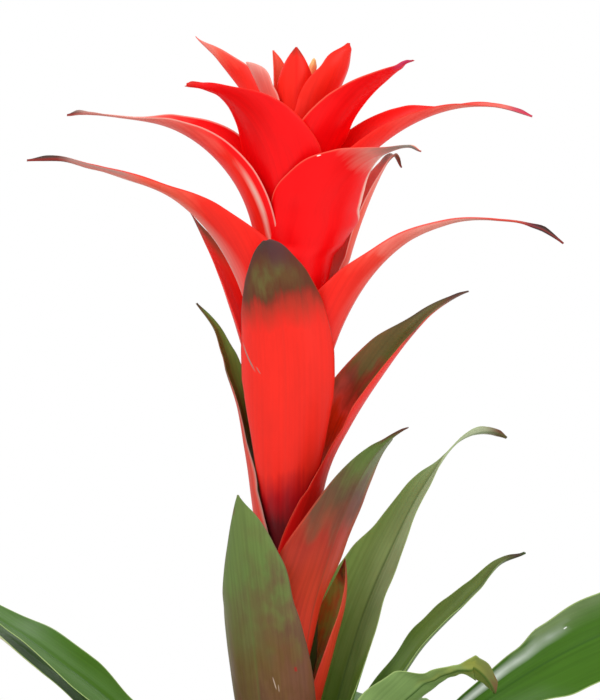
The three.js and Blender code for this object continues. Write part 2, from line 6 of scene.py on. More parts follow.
import bpy
import numpy as np
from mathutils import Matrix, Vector


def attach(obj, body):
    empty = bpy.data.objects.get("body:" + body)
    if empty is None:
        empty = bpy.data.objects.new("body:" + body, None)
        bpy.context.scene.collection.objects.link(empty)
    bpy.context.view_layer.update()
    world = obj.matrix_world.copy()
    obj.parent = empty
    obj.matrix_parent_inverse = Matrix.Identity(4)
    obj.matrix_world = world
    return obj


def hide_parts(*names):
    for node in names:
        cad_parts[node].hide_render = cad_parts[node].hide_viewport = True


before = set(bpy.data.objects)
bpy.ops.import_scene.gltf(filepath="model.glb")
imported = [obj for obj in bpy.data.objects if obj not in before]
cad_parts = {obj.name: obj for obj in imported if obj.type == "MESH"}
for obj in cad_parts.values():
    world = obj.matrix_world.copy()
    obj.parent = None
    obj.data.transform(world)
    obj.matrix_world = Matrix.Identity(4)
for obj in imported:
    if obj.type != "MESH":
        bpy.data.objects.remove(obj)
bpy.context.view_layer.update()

MM = 0.001

# Whole plant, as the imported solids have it. The stem's profile gives its radius and the height of each.
PLANT_HEIGHT = 440
SPIKE_LEAN = 8
STEM_PROFILE = [
    (17, 0), (17, 8), (15.5, 30), (12.5, 62), (8.5, 84), (7, 110), (6.7, 180), (6.2, 250), (5.4, 310),
    (4.6, 372), (3.4, 384),
]
STEM_CUT = [(0, 16.6), (0.001, 16.9)]  # the softened edge of the cut face: share of the height, radius
STEM_ROWS = 420
STEM_SIDES = 96
SCAR_SPACING = 3.4  # between one leaf scar on the stem and the next
SCAR_WIDTH = 0.16  # as a share of the spacing
SCAR_HEIGHT = 0.14

# The florets: closed ones in a spiral, and one that has opened. A floret's profile is its radius at
# shares of its length. Where a value has two numbers, they are the first closed floret's and the last's.
FLORET_COUNT = 8
FLORET_SPIRAL = 137.5
FLORET_RISE = 1.4
FLORET_TILT = (9, 2)
FLORET_RING = (2.2, 0.9)
FLORET_FOOT = 386
FLORET_LENGTH = 30
CLOSED_FLORET = [(0, 0.7), (0.05, 1.3), (0.27, 1.8), (0.57, 2), (0.84, 1.2), (0.95, 0.5), (1, 0.1)]
OPEN_FLORET = [(0, 0.7), (0.1, 1.4), (0.5, 1.6), (0.72, 1.75), (0.9, 1.7), (0.97, 1), (1, 0.15)]
OPEN_FOOT = (1.2, 0.6, 394)
OPEN_TIP = (6.7, 2, 433.5)
HEAD_PROFILE = [(0, 3.1), (0.3, 3), (0.9, 1.6), (1, 0.3)]
HEAD_FOOT = (0, 0, 384.4)
HEAD_TIP = (0, 0, 401)

# The finer blades. The shares are of the free blade's length, from the neck where it leaves its sheath.
LEVEL_SHARE = 0.25  # by here a blade has turned from its clasp round the stem to its own line
SPREAD_SHARE = 0.3  # by here it has its full width
MARGIN_THICKNESS = 0.35
TIP_THINNING = 0.35  # a blade's thickness at its tip, as a share of the rest
TIP_HALF_WIDTH = 0.25
SHEATH_ROWS = 10
BRACT_ROWS = 90
LEAF_ROWS = 120
COLUMNS = 30
LINE_STEPS = 401
CREASE_WIDTH = 1.6
CREASE_START = (-0.2, 0.4)  # where on the blade it begins, and over how much of it it grows
WAVES = ((61, 1), (37, 0.6), (19, 0.25))  # length of each slow wave and its share of the height
WAVES_START = (0.12, 0.3)  # as for the crease
WAVE_WANDER = (0.8, 1.25)  # how far a wave's own length may be from that, as factors

# The camera: level with the top of the spike and a long way off, so the plant stands nearly without
# perspective. The picture is 600 by 700 pixels and its height takes in VIEW_HEIGHT at the plant.
IMAGE_HEIGHT_PIXELS = 700
PIXEL = 0.45
VIEW_HEIGHT = IMAGE_HEIGHT_PIXELS * PIXEL
CAMERA_TARGET = (8.1, 0, 302.5)
CAMERA_DISTANCE = 1600
CAMERA_ELEVATION = 4
SENSOR = 36
FLOOR_RADIUS = 780
FLOOR_SIDES = 96
SOFT_BOX = 900
SOFT_BOXES = (("key_box", (-900, -1100, 1500), 17), ("fill_box", (1200, -1000, 700), 9),
              ("back_box", (300, 900, 1300), 8))  # place and power

# The bracts of the spike, lowest first. turn is the way a bract faces, in degrees from the front towards
# the right, base its height on the stem, lean how far it stands off the stem, in degrees, sheath the
# height of its clasping part and clasp half the angle that it takes in at the stem. width is the blade's,
# flattened, where it leaves the sheath. tip is its reach from the stem and its height, and tip_lean its
# direction there, from upright. pull sets how long the blade keeps its first and its last direction, and
# cup is half the angle of its channel, half way and at the tip. fade shapes the outline: the first number
# where it narrows, the second how drawn out the tip is.
BRACT_COLUMNS = ("turn", "base", "lean", "sheath", "clasp", "width", "tip", "tip_lean", "pull", "cup",
                 "fade")
BRACTS = {
    "bract_01": (-28, 84, 12, 60, 72, 53, (46, 241.5), 12, (0.4, 0.3), (45, 30), (1.7, 0.9)),
    "bract_02": (112, 112, 15, 30, 78, 40, (28, 209), -6, (0.35, 0.3), (60, 40), (2, 0.9)),
    "bract_03": (-172, 128, 13, 34, 78, 44, (66, 248), 58, (0.35, 0.3), (45, 30), (1.6, 1)),
    "bract_04": (51, 146, 11, 36, 74, 60, (67.5, 271.4), 67, (0.29, 0.31), (45, 30), (1.5, 1)),
    "bract_05": (-104, 180, 8.5, 60, 104, 24, (44, 323), 38, (0.4, 0.4), (60, 40), (1.4, 0.9)),
    "bract_06": (103, 197, 11.7, 44, 152, 42, (80, 328), 75, (0.3, 0.22), (85, 50), (1.7, 1)),
    "bract_07": (-4, 204, 11, 78, 70, 51, (40, 353.5), 26, (0.4, 0.35), (60, 40), (2.4, 0.62)),
    "bract_08": (-130, 220, 9, 55, 66, 40, (62, 363), 40, (0.45, 0.3), (50, 36), (1.5, 1.2)),
    "bract_09": (66, 234, 9, 50, 72, 52, (125.8, 353.4), 127, (0.56, 0.35), (70, 40), (1.2, 2.3)),
    "bract_10": (-72, 246, 9, 60, 72, 64, (123.7, 389), 92, (0.5, 0.3), (70, 40), (1.3, 2.4)),
    "bract_11": (202, 256, 9, 54, 38, 28, (96, 384), 90, (0.45, 0.4), (45, 34), (1.2, 1.5)),
    "bract_12": (124, 266, 9, 51, 46, 34, (56, 390), 125, (0.2, 0.2), (60, 36), (1.6, 1.1)),
    "bract_13": (28, 278, 9.5, 66, 72, 62, (60, 392), 100, (0.5, 0.4), (40, 24), (1.5, 1.3)),
    "bract_14": (-88, 288, 9, 60, 66, 57, (103, 408), 90, (0.4, 0.5), (85, 30), (1.4, 1.5)),
    "bract_15": (180, 297, 7.5, 56, 46, 24, (86, 408), 92, (0.45, 0.4), (45, 34), (1.2, 1.5)),
    "bract_16": (-26, 306, 9, 58, 62, 52, (66, 421), 88, (0.5, 0.35), (50, 24), (1.5, 1.2)),
    "bract_17": (88, 314, 9, 40, 50, 54, (104.1, 408.5), 110, (0.3, 0.45), (80, 30), (1.4, 1.7)),
    "bract_18": (-105, 322, 9, 50, 68, 44, (47.6, 443.1), 40, (0.6, 0.45), (50, 36), (1.3, 1.1)),
    "bract_19": (162, 330, 9, 44, 52, 30, (50, 428), 78, (0.45, 0.4), (45, 34), (1.3, 1.3)),
    "bract_20": (54, 338, 9, 36, 56, 50, (64.5, 432), 74, (0.46, 0.36), (50, 30), (1.4, 1.2)),
    "bract_21": (-76, 345, 9, 30, 50, 30, (23, 431.6), 36, (0.4, 0.35), (58, 45), (3, 0.7)),
    "bract_22": (180, 352, 9, 30, 50, 22, (34, 432), 50, (0.4, 0.35), (50, 40), (1.6, 1.1)),
    "bract_23": (64, 357, 9, 28, 62, 38, (24.5, 440), 16, (0.4, 0.35), (70, 40), (3.2, 0.9)),
    "bract_24": (146, 362, 9, 26, 50, 18, (24, 432), 34, (0.4, 0.35), (50, 40), (1.8, 1)),
    "bract_25": (-2, 366, 9, 24, 62, 28, (13, 438.2), 4, (0.4, 0.35), (60, 44), (2.2, 0.85)),
    "bract_26": (-122, 371, 9, 20, 56, 20, (14, 437), 12, (0.4, 0.35), (60, 44), (1.8, 0.9)),
}

# The leaves of the rosette, lowest and outermost first.
LEAF_COLUMNS = ("turn", "base", "lean", "tip", "tip_lean")
LEAVES = {
    "leaf_01": (8, 10, 44, (292, 1), 146),
    "leaf_02": (142, 13, 43, (288, 1), 144),
    "leaf_03": (-78, 16, 42, (294, 1), 146),
    "leaf_04": (60, 19, 41, (290, 1), 144),
    "leaf_05": (-162, 22, 39, (292, 1), 144),
    "leaf_06": (-24, 25, 37, (286, 4), 142),
    "leaf_07": (114, 28, 37, (290, 20), 140),
    "leaf_08": (-120, 31, 36, (284, 24), 138),
    "leaf_09": (28, 34, 35, (270, 14), 142),
    "leaf_10": (166, 37, 34, (270, 24), 140),
    "leaf_11": (-54, 40, 34, (268, 20), 142),
    "leaf_12": (84, 43, 34, (274, 40), 138),
    "leaf_13": (-142, 46, 33, (256, 30), 140),
    "leaf_14": (-2, 49, 33, (236, 24), 142),
    "leaf_15": (-100, 52, 33, (292, 125), 155),
    "leaf_16": (158, 55, 35, (238, 62), 132),
    "leaf_17": (105, 58, 33, (286, 146), 138),
    "leaf_18": (-97, 61, 30, (290, 165), 143),
    "leaf_19": (60, 64, 27, (106, 157), 165),
    "leaf_20": (176, 67, 26, (132, 196), 104),
    "leaf_21": (104, 70, 24, (113, 207.5), 64),
    "leaf_22": (128, 73, 15, (129.4, 256), 118),
}
BRACT_DEFAULTS = dict(side=0, roll=(0, 0, 0), clearance=0.4, thickness=0.9, rows=BRACT_ROWS,
                      wave=0.3, crease=0.2)
LEAF_DEFAULTS = dict(sheath=32, clasp=66, width=40, pull=(0.42, 0.42), side=0, roll=(0, 0, 0),
                     cup=(30, 20), fade=(2.6, 1), clearance=0.9, thickness=1.3, rows=LEAF_ROWS,
                     wave=0.9, crease=0.7)

# What sets the shape of single blades apart, and what their solids leave out and the eye sees. side bends
# the tip towards the right of the way the blade faces. roll turns the blade about its own line, in
# degrees, at the neck, half way and at the tip. The rest are rows that start with a place along the
# blade: -1 is the foot of the sheath, 0 the neck and 1 the tip. edges widens or narrows the blade on its
# left and its right side, as factors. tail is the least half width that it keeps. bends moves its line
# outward, up and sideways. twist turns it, in degrees. hoop is half the angle of its channel, in degrees,
# in place of cup, and curl is that angle where a tail dries and rolls up.
DETAILS = {
    "bract_01": dict(
        tail=((0.9, 0), (0.97, 1.2), (1, 0.3)),
        edges=((-0.2, 1, 1), (0.2, 1.15, 1), (0.3, 1.2, 1), (0.45, 1, 1.02), (0.7, 0.94, 1.25),
               (0.9, 0.9, 1.4), (1, 1, 1))),
    "bract_02": dict(bends=((0.4, 0, 0, 0), (0.7, 1.2, 0, 0), (1, 0.8, -2.4, 0))),
    "bract_04": dict(
        curl=80, hoop=((0.25, 44), (0.5, 28), (1, 20)), tail=((0.8, 0), (0.9, 1.5), (0.97, 1.1), (1, 0.35)),
        bends=((0, 0, 0, 0), (0.3, 1.5, 0, 0), (0.5, 1.2, 0, 0), (0.8, 0, 0, 0), (1, 0, 0, 0)),
        edges=((0, 1, 1), (0.2, 1, 1.25), (0.4, 1, 1.4), (0.6, 1, 1.3), (0.84, 1, 1.5), (0.9, 0.8, 0.5),
               (1, 1, 1))),
    "bract_05": dict(
        curl=70, roll=(0, -22, -35), tail=((0.8, 0), (0.93, 1.3), (1, 0.35)),
        bends=((0.4, 0, 0, 0), (0.6, 1.3, 0, 0), (0.7, 0.3, 0, 0), (0.85, -1.2, 0, 0), (1, 0.4, 0, 0)),
        edges=((-1, 1, 1), (-0.3, 1, 1.1), (0.05, 1, 1.2), (0.3, 1, 1), (0.6, 1, 1), (0.85, 0.75, 1),
               (1, 1, 1))),
    "bract_06": dict(
        curl=70, roll=(0, 30, 30), bends=((0.8, 0, 0, 0), (1, 2.5, 0, 0)),
        tail=((0.85, 0), (0.95, 1.2), (1, 0.35)),
        edges=((-0.05, 1, 1), (0.12, 0.76, 1), (0.22, 0.8, 1), (0.35, 0.95, 1), (0.6, 1, 0.96),
               (0.8, 1, 0.6), (0.92, 1, 0.6), (1, 1, 1))),
    "bract_07": dict(
        side=-9, tail=((0.9, 0), (0.98, 4), (1, 1.5)),
        edges=((-1, 0.9, 1), (-0.66, 0.82, 1), (-0.3, 0.85, 1), (0, 0.9, 1), (0.12, 1, 1.04),
               (0.3, 1.04, 1.05), (0.5, 1, 1), (0.72, 0.95, 0.9), (0.88, 0.9, 0.81), (1, 0.9, 0.9))),
    "bract_08": dict(
        edges=((0.1, 1, 1), (0.4, 1.15, 1.1), (0.8, 1.2, 1.1), (1, 1, 1)),
        bends=((0.2, 0, 0, 0), (0.5, 0, 0, 1.6), (0.8, 0, 0, 0.8), (1, 0, 0, 0))),
    "bract_09": dict(
        curl=85, roll=(0, -8, 0), twist=((0.85, 0), (0.93, 35), (1, 20)),
        tail=((0.7, 0), (0.8, 0.8), (0.88, 0.8), (0.94, 2), (1, 0.4)),
        edges=((0, 1, 1), (0.2, 1.3, 1), (0.32, 1.2, 1), (0.45, 1.02, 1), (1, 1, 1)),
        bends=((0.5, 0, 0, 0), (0.65, 0, -1.2, 0), (0.8, 0, -1.8, 0), (0.9, 0, -0.6, 0), (0.95, 0.6, 0, 0),
               (1, 2.6, -0.9, 0))),
    "bract_10": dict(
        curl=80, roll=(0, 10, 5), twist=((0.55, 0), (0.75, 40), (0.9, 60), (1, 40)),
        tail=((0.6, 0), (0.78, 1.7), (0.86, 1.3), (0.94, 1.8), (1, 0.4)),
        bends=((0.5, 0, 0, 0), (0.7, 0, -1.7, 0), (0.8, 0, -1.6, 0), (0.9, 0, 0.1, 0), (1, 0, -0.7, 0)),
        edges=((0.05, 1, 1), (0.22, 1, 1.25), (0.42, 1, 1.08), (0.6, 1, 0.78), (0.72, 1, 0.85),
               (0.85, 1, 1), (1, 1, 1))),
    "bract_11": dict(bends=((0.5, 0, 0, 0), (1, -4, 0, -9))),
    "bract_12": dict(
        curl=62, tail=((0.65, 0), (0.82, 3.3), (0.9, 3.3), (0.96, 2.2), (1, 0.4)),
        edges=((-1, 1, 1), (0, 1.1, 1), (0.3, 1.2, 1), (0.7, 1.35, 1), (0.85, 1, 1), (1, 1, 1)),
        bends=((0, 0, 0, 0), (0.2, 3.2, 0, 0), (0.3, 5, 0, 0), (0.8, 4.8, 0, -0.2), (0.93, 3.6, -0.9, 0),
               (1, 2.4, -6, 0))),
    "bract_13": dict(
        side=30, curl=85, roll=(0, -8, 0), tail=((0.75, 0), (0.9, 1.3), (0.96, 1.6), (1, 0.4)),
        bends=((0, 0, 0, 0), (0.09, 0, 0, 3.2), (0.2, 0, 0, 3.4), (0.36, 0, 0, 0.8), (0.5, 0, 0, 0),
               (0.8, 0, 0, 0), (0.94, 0, 1.7, 0), (1, 0, 0.3, 0)),
        edges=((-0.3, 1, 1.05), (0, 1, 1.3), (0.1, 1.02, 1.34), (0.22, 1.06, 1.22), (0.38, 1.1, 1),
               (0.5, 1.12, 1), (0.62, 1.05, 1), (0.75, 0.93, 1), (1, 1, 1))),
    "bract_14": dict(
        curl=85, roll=(-8, -10, 0), twist=((0.85, 0), (0.95, 50), (1, 50)),
        tail=((0.8, 0.5), (0.9, 0.8), (0.96, 1.8), (1, 0.4)),
        edges=((0.2, 1, 1), (0.4, 1.1, 1), (0.6, 0.9, 0.9), (0.75, 0.5, 0.6), (1, 1, 1)),
        bends=((0.3, 0, 0, 0), (0.6, 0, 1.6, 0), (0.8, 0, 0.6, 0), (0.95, 0, 0.8, 0), (1, 0, -0.1, 0))),
    "bract_16": dict(
        curl=75, side=-22, twist=((0.75, 0), (1, 40)), tail=((0.7, 0), (0.9, 2.2), (0.97, 2.2), (1, 1)),
        edges=((0.1, 1, 1), (0.35, 1, 1.14), (0.6, 1, 1.18), (1, 1, 1))),
    "bract_17": dict(
        curl=80, roll=(0, 10, 0), twist=((0.7, 0), (0.9, 40), (1, 40)),
        bends=((0.85, 0, 0, 0), (1, 1, -1.2, 0)), tail=((0.6, 0), (0.8, 1.7), (0.95, 1.6), (1, 0.4)),
        edges=((0.05, 1, 1), (0.2, 1, 1.22), (0.4, 1, 1.2), (0.55, 1, 1.15), (0.7, 1, 0.65), (0.85, 1, 0.8),
               (1, 1, 1))),
    "bract_18": dict(
        roll=(8, 15, 0), twist=((0.45, 0), (0.75, 25), (1, 30)),
        hoop=((0.3, 66), (0.6, 62), (0.85, 44), (1, 36)),
        edges=((0.2, 1, 1), (0.4, 1, 1.3), (0.7, 1, 1.4), (0.9, 1, 1.6), (1, 1, 1)),
        bends=((0.3, 0, 0, 0), (0.6, -1.6, 0, 0), (0.85, -1.6, -0.3, 0), (1, 1, 0.3, 0))),
    "bract_20": dict(
        curl=75, roll=(0, -12, -6), hoop=((0.3, 46), (0.6, 30), (1, 24)),
        tail=((0.8, 0), (0.93, 1.5), (1, 0.5)),
        edges=((0.1, 1, 0.95), (0.25, 1, 0.7), (0.4, 1.05, 0.45), (0.7, 1.12, 0.4), (0.9, 1, 0.7),
               (1, 1, 1)),
        bends=((0.1, 0, 0, 0), (0.4, 2.4, 0, 0), (0.7, 2.6, 0, 0), (0.85, 1, 0.3, 0), (0.93, -0.6, 0.8, 0),
               (1, -2.6, 0, 0))),
    "bract_21": dict(
        tail=((0.9, 0), (0.98, 1.6), (1, 0.6)), bends=((0.6, 0, 0, 0), (0.9, 1.4, 0, 0), (1, 1.2, 0, 0)),
        edges=((0.4, 1, 1), (0.6, 1, 0.9), (0.75, 1, 1), (0.92, 1.2, 1.4), (1, 1.3, 1.3))),
    "bract_23": dict(
        tail=((0.9, 0), (0.98, 1.6), (1, 0.6)),
        edges=((0.4, 1, 1), (0.75, 1.2, 1.2), (0.92, 1.5, 1.3), (1, 1.5, 1)),
        bends=((0.5, 0, 0, 0), (0.8, 2, 0, 0), (0.94, 1.4, 0, 0), (1, 0, 0, 0))),
    "bract_25": dict(side=-1, edges=((0.5, 1, 1), (0.7, 1.25, 1), (0.9, 1.5, 1.05), (1, 1.4, 1))),
    "bract_26": dict(edges=((0.5, 1, 1), (0.8, 1.6, 1), (0.95, 1.8, 1), (1, 1.8, 1))),
    "leaf_15": dict(
        roll=(-20, 0, 0), pull=(0.12, 0.55),
        bends=((0.15, 0, 0, 0), (0.3, 0, 11, 0), (0.4, 0, 15, 0), (0.6, 0, 8, 0), (1, 0, 0, 0)),
        edges=((0.1, 1, 1), (0.2, 1, 0.6), (0.3, 0.9, 0.84), (0.4, 0.55, 1), (0.6, 0.6, 1), (1, 1, 1))),
    "leaf_17": dict(
        width=50, pull=(0.06, 0.5), roll=(-40, 75, 60),
        edges=((0, 1, 1), (0.2, 1, 0.5), (0.3, 1, 0.5), (0.36, 1, 0.56), (0.41, 1, 0.72), (0.5, 1, 0.93),
               (1, 1, 1))),
    "leaf_18": dict(
        pull=(0.19, 0.45), roll=(-35, -4, 10),
        bends=((0.3, 0, 0, 0), (0.4, 0, 1.6, 0), (0.5, 0, 4.5, 0), (0.8, 0, 4, 0), (1, 0, 0, 0)),
        edges=((0, 1, 1), (0.2, 0.52, 1), (0.28, 0.78, 0.9), (0.36, 0.9, 0.45), (0.45, 0.62, 0.3),
               (0.6, 0.7, 0.4), (1, 1, 1))),
    "leaf_19": dict(
        width=44, pull=(0.66, 0.28), roll=(-10, -20, -40), twist=((0.7, 0), (0.9, -45), (1, -45)),
        tail=((0.75, 0), (0.86, 4), (0.92, 5.6), (0.96, 3.6), (1, 0.5)),
        edges=((0.4, 1, 1), (0.6, 1, 0.8), (0.7, 0.5, 0.5), (0.8, 0.25, 0.25), (0.88, 0.9, 0.9), (1, 1, 1)),
        bends=((0.2, 0, 0, 0), (0.45, 0, 6, 0), (0.6, 0, 4.2, 0), (0.7, 0, 1.4, 0), (0.78, 0.6, 0, 0),
               (0.85, 1.6, -1.5, 0), (0.9, -2.2, 0, 0), (1, 1, -1.5, 0))),
    "leaf_20": dict(pull=(0.4, 0.35)),
    "leaf_21": dict(
        width=32, curl=80, roll=(4, 0, 0), pull=(0.28, 0.36), tail=((0.85, 0), (0.95, 1.6), (1, 0.35)),
        edges=((0.4, 1, 1), (0.6, 1, 1.12), (0.72, 1, 1.4), (0.8, 1, 1.4), (0.9, 1, 1.2), (1, 1, 1)),
        bends=((0.5, 0, 0, 0), (0.72, 0, -2.6, 0), (0.8, 0, -1.6, 0), (0.9, 0, 2.2, 0), (1, 0, 0, 0))),
    "leaf_22": dict(
        width=47, wave=0.4, fade=(2, 1.1), roll=(0, 0, 0), pull=(0.38, 0.3),
        twist=((0, 0), (0.3, 5), (0.5, 6), (0.7, -8), (0.84, -35), (1, -60)),
        tail=((0.8, 0.8), (0.83, 0.9), (0.87, 2), (0.92, 2.6), (0.97, 1.8), (1, 0.4)),
        bends=((0.35, 0, 0, 0), (0.6, 1.6, -2.2, 0), (0.75, 1.6, -2.6, 0), (0.86, 0, -1, 0),
               (1, 1.2, -0.5, 0)),
        edges=((0, 1, 1), (0.15, 1.15, 1), (0.3, 0.95, 1.1), (0.45, 0.6, 1.22), (0.52, 0.58, 1.18),
               (0.6, 0.64, 0.98), (0.75, 0.8, 1), (0.83, 0.2, 0.2), (0.92, 1, 1), (1, 1, 1))),
}


def mix(first, second, share):
    return first + (second - first) * share


def smooth(share):
    share = np.clip(share, 0, 1)
    return share * share * (3 - 2 * share)


def along3(place, values):
    """The value at each place from 0 to 1, of three given at 0, one half and 1."""
    return np.interp(place, [0, 0.5, 1], values)


def eased(place, pairs, column):
    """The value at each place of a column of given rows, with no corner at a row."""
    marks = [row[0] for row in pairs]
    values = [row[column] for row in pairs]
    step = np.interp(place, marks, np.arange(len(marks)))
    low = np.clip(step.astype(int), 0, len(marks) - 2)
    return mix(np.take(values, low), np.take(values, low + 1), smooth(step - low))


def unit(vectors):
    return vectors / np.linalg.norm(vectors, axis=-1, keepdims=True)


def turned(vectors, axis, angle):
    """Vectors turned about unit axes, by angles in radians."""
    angle = angle[:, None]
    beside = np.cross(axis, vectors) * np.sin(angle)
    on_axis = axis * np.sum(axis * vectors, axis=1, keepdims=True)
    return vectors * np.cos(angle) + beside + on_axis * (1 - np.cos(angle))


def leant(points):
    """Leans the whole plant a little to the right, more with height."""
    points[..., 0] += SPIKE_LEAN * (points[..., 2] / PLANT_HEIGHT) ** 2
    return points


def stem_radius(height):
    return np.interp(height, [z for _, z in STEM_PROFILE], [r for r, _ in STEM_PROFILE])


def blade_line(blade, start, places):
    """Points and directions of a free blade's line in its own upright plane, evenly along it."""
    end = np.array(blade["tip"], float)
    span = np.linalg.norm(end - start)
    first, last = math.radians(blade["lean"]), math.radians(blade["tip_lean"])
    leave = start + blade["pull"][0] * span * np.array([math.sin(first), math.cos(first)])
    arrive = end - blade["pull"][1] * span * np.array([math.sin(last), math.cos(last)])

    def at(t):
        t = t[:, None]
        early = (1 - t) ** 2 * ((1 - t) * start + 3 * t * leave)
        late = t * t * (3 * (1 - t) * arrive + t * end)
        return early + late

    def slope(t):
        t = t[:, None]
        return (1 - t) ** 2 * (leave - start) + 2 * (1 - t) * t * (arrive - leave) + t * t * (end - arrive)

    even = np.linspace(0, 1, LINE_STEPS)
    steps = np.linalg.norm(np.diff(at(even), axis=0), axis=1)
    length = np.concatenate([[0], np.cumsum(steps)])
    t = np.interp(places * length[-1], length, even)
    return at(t), unit(slope(t)), length[-1]


def blade_sections(blade):
    """The sections of a blade, from the foot of its sheath to its tip, and how far along each is."""
    turn = math.radians(blade["turn"])
    outward = np.array([math.sin(turn), -math.cos(turn), 0])
    across = np.array([math.cos(turn), math.sin(turn), 0])
    up = np.array([0.0, 0.0, 1.0])
    clasp = math.radians(blade["clasp"])
    root = stem_radius(blade["base"]) + blade["clearance"] + blade["thickness"] / 2
    neck = root + blade["sheath"] * math.tan(math.radians(blade["lean"]))
    neck_half = min(blade["width"] / 2, neck * clasp)
    neck_angle = neck_half / neck

    low = np.linspace(-1, 0, SHEATH_ROWS, endpoint=False)
    radius = mix(root, neck, low + 1)
    low_angle = mix(clasp, neck_angle, low + 1)
    low_middle = outward * radius[:, None] + up * (blade["base"] + blade["sheath"] * (low + 1))[:, None]

    places = np.linspace(0, 1, blade["rows"])
    start = np.array([neck, blade["base"] + blade["sheath"]])
    line, slope, length = blade_line(blade, start, places)
    middle = outward * line[:, :1] + up * line[:, 1:] + across * (blade["side"] * places**2)[:, None]
    along = outward * slope[:, :1] + up * slope[:, 1:]
    along = unit(along + across * (2 * blade["side"] * places / length)[:, None])
    level = smooth(places / LEVEL_SHARE)[:, None]
    right = unit(across - along * (along @ across)[:, None] * level)
    square = np.cross(along, right)
    inward = unit(mix(-outward, square, level))
    roll = np.radians(along3(places, blade["roll"])) * level[:, 0]
    if "twist" in blade:
        roll = roll + np.radians(eased(places, blade["twist"], 1))
    right, inward = turned(right, along, roll), turned(inward, along, roll)
    narrowing = (1 - places ** blade["fade"][0]) ** blade["fade"][1]
    half = mix(neck_half, blade["width"] / 2, smooth(places / SPREAD_SHARE)) * narrowing
    tail = eased(places, blade.get("tail", ((0, 0), (1, 0))), 1)
    rolled = smooth(tail / np.maximum(half, TIP_HALF_WIDTH) - 0.2)
    half = np.maximum(half, np.maximum(tail, TIP_HALF_WIDTH))
    every_place = np.concatenate([low, places])
    sides = np.ones((len(every_place), 2))
    if "edges" in blade:
        sides = np.stack([eased(every_place, blade["edges"], side) for side in (1, 2)], axis=1)
    if "bends" in blade:
        for column, way in ((1, outward), (2, up), (3, across)):
            middle = middle + way * eased(places, blade["bends"], column)[:, None]
    cup = np.radians(blade["cup"])
    angle = along3(places, (neck_angle, cup[0], cup[1]))
    if "hoop" in blade:
        angle = np.radians(eased(places, ((0, math.degrees(neck_angle)), *blade["hoop"]), 1))
    if "curl" in blade:
        angle = mix(angle, math.radians(blade["curl"]), rolled)

    def whole(below, above):
        return np.concatenate([np.broadcast_to(below, (SHEATH_ROWS, *np.shape(above)[1:])), above])

    return dict(
        place=every_place,
        distance=np.concatenate([low * blade["sheath"], places * length]),
        middle=whole(low_middle, middle),
        right=whole(across, right),
        inward=whole(-outward, inward),
        half=whole(radius * low_angle, half),
        sides=sides,
        angle=whole(low_angle, angle),
        half_at_widest=half.max(),
    )


def carried(mesh, field, blocks):
    """Gives each point of a mesh a number for its finish to read, block after block of points."""
    layer = mesh.attributes.new(field, "FLOAT", "POINT")
    layer.data.foreach_set("value", np.concatenate(blocks).astype(np.float32))


